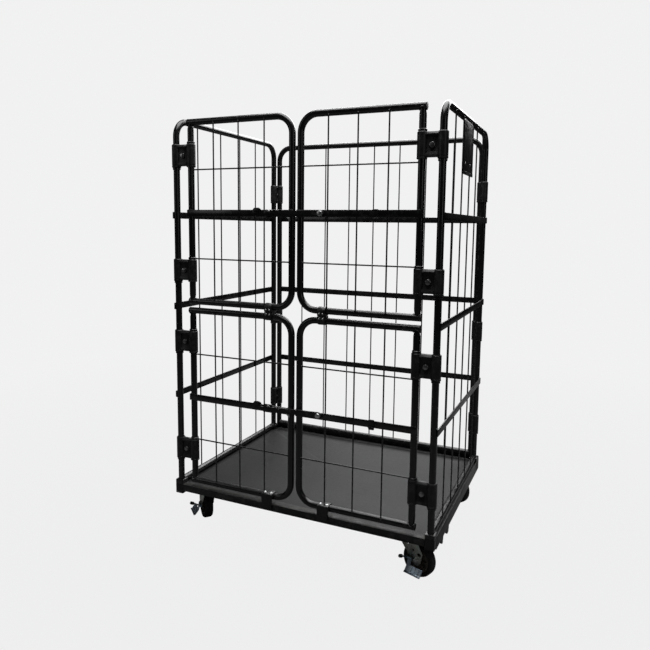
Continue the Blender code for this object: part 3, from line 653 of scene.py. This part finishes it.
def door(side, name, level):
    """A leaf: bent frame, hinge tube with turned necks, wires, flat bar and stop rings."""
    body = f"door_leaf_{level}_{name}"
    low, high = DOOR_Z[level]
    middle = (low + high) / 2
    hinge = side * HINGE_X
    stile = side * STILE_X
    rail_end = side * RAIL_END_X
    corners = ((rail_end, FRONT, low), (stile, FRONT, low), (stile, FRONT, high), (rail_end, FRONT, high))
    upright = [(hinge, FRONT, z) for z in (low, low + 0.014, low + 0.026, high - 0.026, high - 0.014, high)]
    neck = TUBE_R - 0.0022
    parts = [tube(rounded_path(corners, BEND_R), TUBE_R, 28),
             tube(upright, [neck, neck, TUBE_R, TUBE_R, neck, neck], 28)]
    for z, up in ((low, 1), (high, -1)):
        parts.append(saddle_weld((hinge, FRONT, z), (1, 0, 0), (0, 0, up), z, 0.0024))
    wire_y = FRONT - TUBE_R + WIRE_R
    for i in (1, 2, 3):
        x = side * (STILE_X + (HINGE_X - STILE_X) * i / 4)
        parts += upright_wire(x, wire_y, low, high, i, i + 4)
    cross_y = wire_y + 1.85 * WIRE_R
    for part in DOOR_CROSS_WIRES[level]:
        z = low + (high - low) * part
        parts.append(tube(((stile, cross_y, z), (hinge, cross_y, z)), WIRE_R, 12))
        for x, way in ((stile, 1), (hinge, -1)):
            parts.append(wire_weld((x + way * side * (TUBE_R - 0.0018), cross_y, z), (1, 0, 0), z + way))
    parts.append(block((stile - side * 0.01, DOOR_FACE, middle - FLAT_H / 2),
                       (hinge + side * 0.011, DOOR_FACE + FLAT_T + BAR_SINK, middle + FLAT_H / 2), BAR_EDGE))
    for x in (stile, hinge):
        parts += bar_welds((x, FRONT, middle), (0, -1, 0), (1, 0, 0), x)
    for place in ("bottom", "top"):
        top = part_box(f"hinge_clamp_{level}_{name}_{place}")[1].z
        parts.append(stop_ring(hinge, FRONT, top + RING_GAP))
    stand_in(f"door_{level}_{name}", parts, tube_black, body)
    cap = ((0, -0.006), (TUBE_R - 0.0014, -0.006), (TUBE_R - 0.0014, 0), (TUBE_R + 0.0003, 0.0001),
           (TUBE_R + 0.0003, 0.0011), (TUBE_R - 0.001, 0.002), (TUBE_R * 0.5, 0.0023), (0, 0.0024))
    caps = [moved(lathe(cap, 28), at(rail_end, FRONT, z) @ facing((side, 0, 0))) for z in (low, high)]
    piece(f"rail_caps_{level}_{name}", caps, grip_black, body)


# ---- clamps ----
CLAMP_H = 0.09
POCKET = 0.0055  # depth of the recess in the web's faces


def barrel(radius):
    """Moulded barrel round a tube, with a chamfered top and a collar at its foot."""
    high = CLAMP_H / 2
    low = -high
    bore = TUBE_R + 0.0002
    waist = radius - 0.0011
    return lathe(((bore, low), (radius - 0.0015, low), (radius, low + 0.0015), (radius, low + 0.0065),
                  (waist, low + 0.0073), (waist, low + 0.0088), (radius - 0.0002, low + 0.0096),
                  (radius - 0.0002, high - 0.0028), (radius - 0.0022, high), (bore, high)), 36, closed=True)


def web_outline(depth):
    """Side view of the web between two barrels: a recessed face over a sloping ledge, on both sides."""
    half = CLAMP_H / 2
    front = [(-depth, -half + 0.006), (-depth, -half + 0.0155), (-depth + POCKET, -half + 0.0235),
             (-depth + POCKET, half - 0.015), (-depth, half - 0.0135), (-depth, half - 0.009),
             (-depth + 0.007, half - 0.0015)]
    return front + [(-y, z) for y, z in reversed(front)]


def clamp(node, ends, radius, body, bolt_flats, bolt_side):
    """Two-barrel clamp with its through bolt, between two upright tubes given as (x, y)."""
    first, second = [Vector(end) for end in sorted(ends)]
    across = second - first
    span = across.length
    local = at(*first, middle_of(node).z) @ Matrix.Rotation(math.atan2(across.y, across.x), 4, "Z")
    depth = radius - 0.0052
    face = depth - POCKET
    inset = TUBE_R + 0.001
    turned_out = facing((0, bolt_side, 0))
    boss_r = bolt_flats * 0.74
    boss = lathe(((0, 0), (boss_r, 0), (boss_r, 0.0022), (bolt_flats * 0.68, 0.003), (0, 0.003)), 32)
    parts = [moved(barrel(radius), at(x, 0, 0)) for x in (0, span)]
    parts.append(plate(web_outline(depth), inset, span - inset, "x", 0.0007))
    parts.append(moved(boss, at(span / 2, bolt_side * face, 0) @ turned_out))
    stand_in(node, all_moved(parts, local), clamp_black, body)
    head = moved(hex_bolt(bolt_flats, 0.004, bolt_flats * 0.6),
                 at(span / 2, bolt_side * (face + 0.0028), 0) @ turned_out @ POINT_UP)
    nut = moved(hex_bolt(bolt_flats, 0.0045), at(span / 2, -bolt_side * face, 0) @ facing((0, -bolt_side, 0)))
    piece(f"{node}_bolt", all_moved([head, nut], local), dull_zinc, body)


def rail_saddle(outline, low, high, rail, edge):
    """An outline drawn along a door rail, with a bore for the rail."""
    bore = tube(((low.x - 0.01, FRONT, rail), (high.x + 0.01, FRONT, rail)), TUBE_R + 0.0001, 28)
    return cut(plate(outline, low.x, high.x, "x", edge), [bore])


def spacer(name, level):
    """Saddle block clamped on a door rail, with two screws."""
    node = f"spacer_block_{level}_{name}"
    body = f"door_leaf_{level}_{name}"
    low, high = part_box(node)
    if level == "upper":
        rail, meet, up = DOOR_Z["upper"][0], low.z, 1
    else:
        rail, meet, up = DOOR_Z["lower"][1], high.z, -1
    outline = [(low.y, meet), (high.y, meet)]
    for cos, sin in arc(0, 180, 12):
        reach_y = high.y - FRONT if cos > 0 else FRONT - low.y
        outline.append((FRONT + reach_y * cos, rail + up * 0.015 * sin))
    stand_in(node, [rail_saddle(outline, low, high, rail, 0.0012)], clamp_black, body)
    screws = [moved(dome_head(0.0036, 0.0022), at(x, low.y + 0.0002, rail - up * 0.0095) @ TO_FRONT)
              for x in (low.x + 0.0075, high.x - 0.0075)]
    piece(f"spacer_screws_{level}_{name}", screws, bright_zinc, body)


def sill_tab(name):
    """Stop tab on a lower rail: a saddle with two screws and a skirt in front of the sill."""
    node = f"sill_tab_{name}"
    body = f"door_leaf_lower_{name}"
    low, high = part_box(node)
    rail = DOOR_Z["lower"][0]
    outline = rounded(((low.y, low.z), (low.y + 0.0062, low.z), (low.y + 0.0062, rail - 0.0085),
                       (high.y, rail - 0.008), (high.y, high.z), (low.y, high.z)),
                      (0.001, 0.001, 0.002, 0.002, 0.006, 0.004))
    stand_in(node, [rail_saddle(outline, low, high, rail, 0.0011)], clamp_black, body)
    heads = [moved(hex_bolt(0.008, 0.003, 0.0056), at(x, FRONT - 0.0105, high.z - 0.0002))
             for x in (low.x + 0.0095, high.x - 0.0095)]
    piece(f"sill_tab_screws_{name}", heads, bright_zinc, body)


# ---- latches ----
LATCH_HALF = 0.0125  # half the bar's width
LATCH_T = 0.005


def latch_bar(level):
    """Bar with a bored round end, a raised hand at the other, a boss over the catch and a rib."""
    node = f"latch_bar_{level}"
    pivot = joint_at(f"latch_turn_{level}")
    x, front, z = pivot
    end_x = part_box(node)[0].x
    outline = [(x + LATCH_HALF * cos, z + LATCH_HALF * sin) for cos, sin in arc(-90, 90, 12)]
    top = z + LATCH_HALF + 0.008
    outline += rounded(((end_x + 0.045, z + LATCH_HALF), (end_x + 0.03, top), (end_x + 0.01, top),
                        (end_x, top - 0.012), (end_x, z - 0.004), (end_x + 0.012, z - LATCH_HALF)),
                       (0.01, 0.008, 0.006, 0.006, 0.006, 0.008))
    bore = lathe(((0, -0.02), (0.0063, -0.02), (0.0063, 0.02), (0, 0.02)), 28)
    bore = moved(bore, at(*pivot) @ facing((0, 1, 0)))
    bar = cut(plate(outline, front, front + LATCH_T, "y", 0.0008), [bore])
    boss = lathe(((0, -0.001), (0.0137, -0.001), (0.0137, 0.003), (0.0125, 0.0045), (0.0105, 0.005),
                  (0.0095, 0.0074), (0.0075, 0.008), (0, 0.008)), 32)
    boss_x = middle_of(f"latch_catch_{level}").x
    rib = rounded(((end_x + 0.01, z + 0.012), (end_x + 0.03, z + 0.018), (end_x + 0.03, z + 0.008),
                   (end_x + 0.01, z + 0.004)), 0.002)
    parts = [bar, moved(boss, at(boss_x, front, z) @ TO_FRONT),
             plate(rib, front - 0.0035, front + 0.0005, "y", 0.0008)]
    stand_in(node, parts, latch_black, f"latch_{level}")


def latch_bolt(level):
    """Shouldered pivot bolt."""
    x, front, z = joint_at(f"latch_turn_{level}")
    shank = lathe(((0, 0), (0.0105, 0), (0.0105, 0.0032), (0.006, 0.0036), (0.006, 0.0106), (0, 0.0106)), 28)
    parts = [moved(shank, at(x, DOOR_FACE - 0.0003, z) @ TO_FRONT),
             moved(hex_bolt(0.017, 0.0052, 0.0102), at(x, front - 0.0004, z) @ TO_FRONT @ POINT_UP)]
    stand_in(f"latch_pivot_{level}", parts, bright_zinc, f"door_leaf_{level}_right")


def latch_rest(node, level, name):
    """Upright plate with a shelf that the bar lies on: the catch or the parking hook."""
    pivot = joint_at(f"latch_turn_{level}")
    low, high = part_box(node)
    seat = pivot.z - LATCH_HALF - 0.0006
    outline = rounded(rectangle(low.x, low.z, high.x, high.z), (high.x - low.x) * 0.18)
    parts = [plate(outline, pivot.y + LATCH_T + 0.0008, high.y, "y", 0.0007),
             block((low.x, low.y, seat - 0.004), (high.x, high.y - 0.001, seat), 0.0009)]
    stand_in(node, parts, latch_black, f"door_leaf_{level}_{name}")


def latch_toe(level):
    """Small zinc bracket under the bar, near the left leaf's edge."""
    x = -STILE_X - 0.014
    top = joint_at(f"latch_turn_{level}").z - LATCH_HALF - 0.002
    outline = rounded(((x, top), (x + 0.016, top), (x + 0.016, top - 0.0145)), 0.0016)
    toe = plate(outline, DOOR_FACE - 0.0022, DOOR_FACE + 0.003, "y", 0.0004)
    piece(f"latch_toe_{level}", [toe], bright_zinc, f"door_leaf_{level}_left")


# ---- base ----
RAIL_Z = (0.128, 0.177)
SILL_Z = (0.148, 0.177)
SHELF_Z = (0.1585, 0.1627)
REAR_RAIL_TOP = 0.1893
WALL = 0.0035
SILL_FRONT = FRONT - SOCKET_HALF + 0.0003
LUGS = ((0.0745, 0.1225), (0.1545, 0.2115))  # front and rear end of each rail lug, from the front posts
LUG_LOW_Z = 0.105
PAD_X = (0.24, 0.52)
PAD_HALF_Y = 0.055


def square_socket(x, y):
    """Short square tube that a post stands in."""
    low = 0.137
    top = SOCKET_TOP + 0.02
    bore_r = TUBE_R + 0.0002
    bore = lathe(((0, low - 0.02), (bore_r, low - 0.02), (bore_r, top), (0, top)), 28)
    return moved(cut(plate(SOCKET_OUTLINE, low, SOCKET_TOP, "z", 0.0007), [bore]), at(x, y, 0))


def base_side(side, name, out, rear_face):
    """One side rail with its shelf, cross member, caster pads, lugs, sockets and welds."""
    parts = [block((side * (out - WALL), FRONT + SOCKET_HALF - 0.002, RAIL_Z[0]),
                   (side * out, rear_face - 0.001, RAIL_Z[1]), 0.0014),
             block((side * 0.5, FRONT + 0.018, SHELF_Z[0]),
                   (side * (out - 0.001), REAR - 0.018, SHELF_Z[1]), 0.0008),
             block((side * 0.23, FRONT + 0.014, 0.133), (side * 0.25, REAR + 0.012, SHELF_Z[1]), 0.0015)]
    for end in ("front", "rear"):
        y = joint_at(f"swivel_turn_{end}_{name}").y
        pad = rectangle(side * PAD_X[0], y - PAD_HALF_Y, side * PAD_X[1], y + PAD_HALF_Y)
        parts.append(plate(rounded(pad, 0.006), 0.1581, SHELF_Z[1] - 0.0002, "z", 0.0006))
    for lug_front, lug_rear in LUGS:
        front = FRONT + lug_front
        rear = FRONT + lug_rear
        top = RAIL_Z[0] + 0.003
        corners = ((front, top), (front + 0.03, LUG_LOW_Z), (rear - 0.008, LUG_LOW_Z), (rear, top))
        faces = sorted((side * (out - 0.007), side * (out - 0.0002)))
        parts.append(plate(rounded(corners, (0.001, 0.006, 0.006, 0.001)), *faces, "x", 0.0008))
        weld_x = side * (out - 0.0072)
        parts.append(line_weld((weld_x, front + 0.006, RAIL_Z[0]), (weld_x, rear - 0.006, RAIL_Z[0]), front))
    for y, inward in ((FRONT, 1), (REAR, -1)):
        parts.append(square_socket(side * POST_X, y))
        weld = (side * (out - 0.0003), y + inward * SOCKET_HALF)
        parts.append(line_weld((*weld, RAIL_Z[0] + 0.012), (*weld, RAIL_Z[1] - 0.002), y, 0.0014))
    weld = (side * (POST_X - SOCKET_HALF), SILL_FRONT + 0.0002)
    parts.append(line_weld((*weld, SILL_Z[0] + 0.002), (*weld, SILL_Z[1] - 0.002), side + 3, 0.0014))
    return parts


def base_frame():
    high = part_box("base_frame")[1]
    sill_x = POST_X - SOCKET_HALF + 0.002
    shelf_x = POST_X - 0.02
    rear_x = high.x - 0.001
    parts = [block((-sill_x, SILL_FRONT, SILL_Z[0]), (sill_x, FRONT + 0.018, SILL_Z[1]), 0.0026)]
    for side, name in SIDES:
        parts += base_side(side, name, high.x, high.y)
    parts += [block((-rear_x, high.y - WALL, RAIL_Z[0]), (rear_x, high.y, REAR_RAIL_TOP), 0.0014),
              block((-shelf_x, REAR - 0.035, SHELF_Z[0]), (shelf_x, high.y - 0.001, SHELF_Z[1]), 0.0008)]
    stand_in("base_frame", parts, base_black, "root")


def deck_panel():
    """Deck sheet with its rear corners cut out round the rear sockets."""
    low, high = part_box("deck_panel")
    notch_x = POST_X - SOCKET_HALF - 0.001
    notch_y = REAR - SOCKET_HALF - 0.001
    outline = rounded(((low.x, low.y), (high.x, low.y), (high.x, notch_y), (notch_x, notch_y),
                       (notch_x, high.y), (-notch_x, high.y), (-notch_x, notch_y), (low.x, notch_y)),
                      0.003, 3)
    stand_in("deck_panel", [plate(outline, low.z, high.z, "z", 0.0014)], deck_grey, "root")


def card_holder():
    """Folded sheet pocket with an open top, held by two rivets."""
    low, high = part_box("card_holder")
    sheet = 0.0015
    back = rounded(rectangle(low.y, low.z, high.y, high.z), 0.006)
    parts = [plate(back, low.x, low.x + sheet, "x", 0.0004),
             block((low.x, low.y, low.z), (high.x, high.y, low.z + sheet), 0.0005),
             block((high.x - sheet, low.y, low.z), (high.x, high.y, low.z + 0.012), 0.0005)]
    for y in (low.y, high.y - sheet):
        parts.append(block((low.x, y, low.z), (high.x - 0.0008, y + sheet, high.z - 0.01), 0.0004))
    stand_in("card_holder", parts, sheet_black, "root")
    middle = (low.y + high.y) / 2
    rivets = []
    for y in (middle - 0.042, middle + 0.042):
        rivet = at(low.x + sheet, y, low.z + 0.042) @ facing((1, 0, 0))
        rivets.append(moved(dome_head(0.0042, 0.0018), rivet))
    piece("card_holder_rivets", rivets, bright_zinc, "root")


# ---- casters ----
WHEEL_R = 0.0625
LEG_Y = (0.0212, 0.0242)  # inner and outer face of a fork leg
CROWN_Z = (0.1392, 0.1472)
LEG_TOP = CROWN_Z[0] + 0.0042
FORK_CORNERS = ((-0.03, LEG_TOP), (0.04, LEG_TOP), (0.068, 0.095), (0.058, 0.054), (0.047, 0.0465),
                (0.033, 0.0465), (0.02, 0.06), (-0.024, 0.112))
FORK_RADII = (0.003, 0.006, 0.012, 0.008, 0.006, 0.006, 0.01, 0.008)
FORK_HOLES = (((0.054, 0.09), (0.0078, 0.0062)), ((0.0285, 0.1), (0.0038, 0.0038)),
              ((0.025, 0.079), (0.006, 0.0036)), ((0.006, 0.118), (0.005, 0.005)))
HUB_HALF = ((0.0064, -0.0205), (0.014, -0.0205), (0.016, -0.019), (0.0166, -0.011), (0.019, -0.008),
            (0.037, -0.0074), (0.0398, -0.0092), (0.041, -0.014), (0.0424, -0.0154), (0.0466, -0.0154))
HUB_RIBS = 8
AXLE_R = 0.0058
PEDAL_OUT = 0.032  # from the wheel's middle plane to the pedal's hinge


def caster_frame(place):
    """The caster's trail, and the matrix of its own frame: origin on the floor, X towards the wheel."""
    swivel = joint_at(f"swivel_turn_{place}")
    arm = joint_at(f"wheel_spin_{place}") - swivel
    turn = Matrix.Rotation(math.atan2(arm.y, arm.x), 4, "Z")
    return math.hypot(arm.x, arm.y), at(swivel.x, swivel.y, 0) @ turn


def caster_plate(place):
    """Top plate with the fixed race, and its four bolts."""
    node = f"caster_plate_{place}"
    swivel = joint_at(f"swivel_turn_{place}")
    low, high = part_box(node)
    half = (high - low) / 2
    under = high.z - 0.003
    top = rounded(rectangle(-half.x, -half.y, half.x, half.y), 0.01)
    race = lathe(((0, 0.1475), (0.0215, 0.1475), (0.0235, 0.148), (0.0262, 0.15), (0.0262, 0.152),
                  (0.024, 0.1548), (0.025, 0.1556), (0, 0.1556)), 36)
    parts = all_moved([plate(top, under, high.z, "z", 0.0007), race], at(swivel.x, swivel.y, 0))
    stand_in(node, parts, zinc, "root")
    down = facing((0, 0, -1))
    bolts = [moved(hex_bolt(0.013, 0.0055, 0.0088), at(swivel.x + x, swivel.y + y, under) @ down)
             for x in (-0.04, 0.04) for y in (-0.03, 0.03)]
    piece(f"caster_plate_bolts_{place}", bolts, bright_zinc, "root")


def fork_leg(side):
    """One pressed leg with its holes."""
    faces = sorted((side * LEG_Y[0], side * LEG_Y[1]))
    cutters = []
    for (x, z), (radius_x, radius_z) in FORK_HOLES:
        rim = [(x + radius_x * cos, z + radius_z * sin) for cos, sin in turns(20)]
        cutters.append(plate(rim, faces[0] - 0.01, faces[1] + 0.01, "y", 0))
    return cut(plate(rounded(FORK_CORNERS, FORK_RADII), *faces, "y", 0.0007), cutters)


def caster_fork(place):
    """Crown, two legs with rounded shoulders, the sheet between them, and the axle's collars."""
    trail, local = caster_frame(place)
    low, high = CROWN_Z
    parts = [lathe(((0, low - 0.001), (0.02, low - 0.001), (0.027, low), (0.0292, 0.1412), (0.0292, 0.1452),
                    (0.028, 0.1468), (0.0262, high), (0, high)), 36)]
    bend_r = 0.0036
    for side in (-1, 1):
        parts.append(fork_leg(side))
        bend = (side * (LEG_Y[1] - bend_r), LEG_TOP - 0.0024)
        parts.append(tube(((-0.027, *bend), (0.034, *bend)), bend_r, 16))
    sheet = rectangle(-0.028, -LEG_Y[1] + 0.002, 0.034, LEG_Y[1] - 0.002)
    parts.append(plate(rounded(sheet, 0.002), low + 0.0003, LEG_TOP + 0.001, "z", 0.0006))
    for side in (-1, 1):
        collar = lathe(((0, 0), (0.0125, 0), (0.0125, 0.0006), (0.0112, 0.0014), (0, 0.0014)), 30)
        parts.append(moved(collar, at(trail, side * (LEG_Y[1] - 0.0002), WHEEL_R) @ facing((0, side, 0))))
    stand_in(f"caster_fork_{place}", all_moved(parts, local), zinc, f"swivel_{place}")


def tyre_profile():
    """The tyre's section: from the hub seat over one side to the tread's middle, and its mirror image."""
    half = [(0.0471, -0.0156), (0.0485, -0.0166), (0.0505, -0.017), (0.0515, -0.0163), (0.0528, -0.0163),
            (0.0538, -0.0174), (0.056, -0.018), (0.0582, -0.0176)]
    half += [(0.0555 + 0.0068 * sin, -0.0095 - 0.0078 * cos) for cos, sin in arc(25, 90, 5)]
    half += [(WHEEL_R, -0.006), (WHEEL_R, -0.0012), (WHEEL_R - 0.0004, 0.0)]
    return half + [(radius, -height) for radius, height in reversed(half[:-1])]


def caster_wheel(place):
    """Tyre, and a ribbed hub."""
    trail, local = caster_frame(place)
    hub_frame = local @ at(trail, 0, WHEEL_R) @ facing((0, 1, 0))
    tyre = moved(lathe(tyre_profile(), 72, closed=True), hub_frame)
    stand_in(f"caster_tyre_{place}", [tyre], tyre_black, f"wheel_{place}")
    section = HUB_HALF + tuple((radius, -height) for radius, height in reversed(HUB_HALF))
    parts = [lathe(section, 60, closed=True)]
    for k in range(HUB_RIBS):
        spoke = Matrix.Rotation(2 * math.pi * k / HUB_RIBS, 4, "Z")
        for side in (-1, 1):
            rib = block((0.0155, -0.0014, side * 0.007), (0.041, 0.0014, side * 0.0136), 0.0006)
            parts.append(moved(rib, spoke))
    stand_in(f"caster_hub_{place}", all_moved(parts, hub_frame), hub_brown, f"wheel_{place}")


def caster_axle(place):
    """Axle bolt with a hexagon on each side."""
    trail, local = caster_frame(place)
    hub = local @ at(trail, 0, WHEEL_R)
    reach = LEG_Y[1] + 0.0013
    parts = [tube(((0, -reach - 0.0058, 0), (0, reach + 0.0066, 0)), AXLE_R, 20)]
    for side in (-1, 1):
        parts.append(moved(hex_bolt(0.0155, 0.0046, 0.0098), at(0, side * reach, 0) @ facing((0, side, 0))))
    stand_in(f"caster_axle_{place}", all_moved(parts, hub), bright_zinc, f"swivel_{place}")


def brake_pedal(place, hand):
    """Bent treadle on a hinge tube beside the wheel, with a lever and its rubber tip."""
    body = f"brake_{place}"
    local = caster_frame(place)[1]
    z = joint_at(f"brake_press_{place}").z

    def profile(corners, radii):
        return [(hand * y, height) for y, height in rounded(corners, radii)]

    arm = profile(((PEDAL_OUT, z + 0.0035), (PEDAL_OUT, z - 0.0035), (0.0385, 0.045), (0.0415, 0.047)),
                  0.0006)
    treadle = profile(((0.037, 0.0465), (0.052, 0.027), (0.06, 0.0255), (0.06, 0.0285), (0.054, 0.0297),
                       (0.0395, 0.0485)), (0.0006, 0.003, 0.0006, 0.0006, 0.003, 0.0006))
    lever = profile(((PEDAL_OUT, z + 0.0022), (PEDAL_OUT, z - 0.0022), (0.064, 0.0822), (0.064, 0.0862)),
                    0.0006)
    parts = [tube(((-0.002, hand * PEDAL_OUT, z), (0.029, hand * PEDAL_OUT, z)), 0.0045, 24),
             plate(arm, 0.012, 0.028, "x", 0.0007),
             plate(treadle, 0.012, 0.08, "x", 0.0007)]
    for x in (0.024, 0.038, 0.053, 0.068):
        parts.append(tube(((x, hand * 0.0408, 0.0462), (x, hand * 0.0525, 0.0312)), 0.0018, 12))
    parts.append(plate(lever, -0.001, 0.009, "x", 0.0007))
    stand_in(f"brake_pedal_{place}", all_moved(parts, local), blue_zinc, body)
    grip = lathe(((0, 0), (0.0052, 0), (0.0064, 0.0014), (0.0064, 0.013), (0.0054, 0.0158), (0.003, 0.0172),
                  (0, 0.0175)), 24)
    tip = local @ at(0.004, hand * 0.06, 0.0825) @ facing((0, hand * 0.916, 0.401))
    piece(f"brake_tip_{place}", [moved(grip, tip)], grip_black, body)


# ---- assembly ----
base_frame()
deck_panel()
for side, name in SIDES:
    side_panel(side, name)
back_panel()
card_holder()
for side, name in SIDES:
    for place in ("bottom", "middle", "top"):
        ends = ((side * POST_X, REAR), (side * BACK_X, BACK_Y))
        clamp(f"rear_clamp_{name}_{place}", ends, 0.0165, "root", 0.008, 1)
    for level in LEVELS:
        door(side, name, level)
        for place in ("bottom", "top"):
            ends = ((side * POST_X, FRONT), (side * HINGE_X, FRONT))
            body = f"hinge_link_{level}_{name}"
            clamp(f"hinge_clamp_{level}_{name}_{place}", ends, 0.0178, body, 0.015, -1)
        spacer(name, level)
    sill_tab(name)
for level in LEVELS:
    latch_bar(level)
    latch_bolt(level)
    latch_rest(f"latch_catch_{level}", level, "left")
    latch_rest(f"latch_park_hook_{level}", level, "right")
    latch_toe(level)
for place in ("front_left", "front_right", "rear_left", "rear_right"):
    caster_plate(place)
    caster_fork(place)
    caster_wheel(place)
    caster_axle(place)
brake_pedal("front_left", 1)
brake_pedal("front_right", -1)


# ---- stage, light and camera ----
PAPER = (0.878, 0.88, 0.88)


def show_to_camera(tree, kind, share, unseen, seen):
    """Ends a tree: a share of the camera's own rays sees one shader, all other rays the other."""
    rays = new_node(tree, "LightPath").outputs["Is Camera Ray"]
    mix = new_node(tree, "MixShader", Fac=math_node(tree, "MULTIPLY", share, rays))
    tree.links.new(unseen, mix.inputs[1])
    tree.links.new(seen, mix.inputs[2])
    new_node(tree, kind, Surface=mix.outputs["Shader"])


def stage_floor():
    """Pale round floor that fades into the background colour."""
    material = bpy.data.materials.new("paper_floor")
    material.use_nodes = True
    tree = material.node_tree
    tree.nodes.clear()
    soft = new_node(tree, "BsdfDiffuse", Color=(0.12, 0.12, 0.12, 1))
    glow = new_node(tree, "Emission", Color=(*PAPER, 1))
    distance = new_node(tree, "VectorMath", Vector=new_node(tree, "TexCoord").outputs["Object"])
    distance.operation = "LENGTH"
    fade = ramp(tree, math_node(tree, "DIVIDE", distance.outputs["Value"], 4.0), ((0.25, 0.965), (0.9, 1.0)))
    show_to_camera(tree, "OutputMaterial", fade, soft.outputs["BSDF"], glow.outputs["Emission"])
    bm = bmesh.new()
    bmesh.ops.create_circle(bm, cap_ends=True, segments=96, radius=30.0)
    floor = mesh_object("floor", bm)
    floor.data.materials.append(material)
    floor.location = (0, 0, -0.0003)


def world():
    """Pale background for the camera, and a dimmer one for light and reflections."""
    sky = bpy.data.worlds.new("studio")
    bpy.context.scene.world = sky
    sky.use_nodes = True
    tree = sky.node_tree
    tree.nodes.clear()
    dim = new_node(tree, "Background", Color=(1, 1, 1, 1), Strength=0.015)
    paper = new_node(tree, "Background", Color=(*PAPER, 1))
    show_to_camera(tree, "OutputWorld", 1.0, dim.outputs["Background"], paper.outputs["Background"])


def softbox(name, place, aim, width, height, power):
    """Soft area light that the camera doesn't see."""
    data = bpy.data.lights.new(name, "AREA")
    data.shape = "RECTANGLE"
    data.size = width
    data.size_y = height
    data.energy = power
    obj = linked(name, data)
    obj.location = place
    obj.rotation_euler = (Vector(aim) - Vector(place)).to_track_quat("-Z", "Y").to_euler()
    obj.visible_camera = False


def camera():
    """Camera at the photograph's place: in front, a little to the right, above the middle of the cage."""
    data = bpy.data.cameras.new("camera")
    data.lens = 32.9
    data.sensor_width = 36.0
    data.shift_x = -0.0197
    data.shift_y = -0.0466
    data.clip_end = 100.0
    obj = linked("camera", data)
    yaw = math.radians(23.57)
    pitch = math.radians(6.39)
    roll = math.radians(0.76)
    obj.matrix_world = (at(1.019, -2.33825, 1.252) @ Matrix.Rotation(yaw, 4, "Z")
                        @ Matrix.Rotation(math.pi / 2 - pitch, 4, "X") @ Matrix.Rotation(roll, 4, "Z"))
    bpy.context.scene.camera = obj


bpy.context.scene.view_settings.view_transform = "Standard"
stage_floor()
world()
softbox("overhead", (0.2, -0.2, 4.2), (0, 0, 0.8), 3.4, 3.0, 175)
softbox("back_top", (0.0, 3.2, 3.7), (0, 0, 1.2), 5.0, 2.4, 260)
softbox("front_left", (-3.2, -3.0, 2.6), (0, 0, 0.8), 1.2, 2.2, 8)
softbox("front_right", (3.4, -2.2, 2.2), (0, 0, 0.8), 0.9, 2.0, 6)
camera()
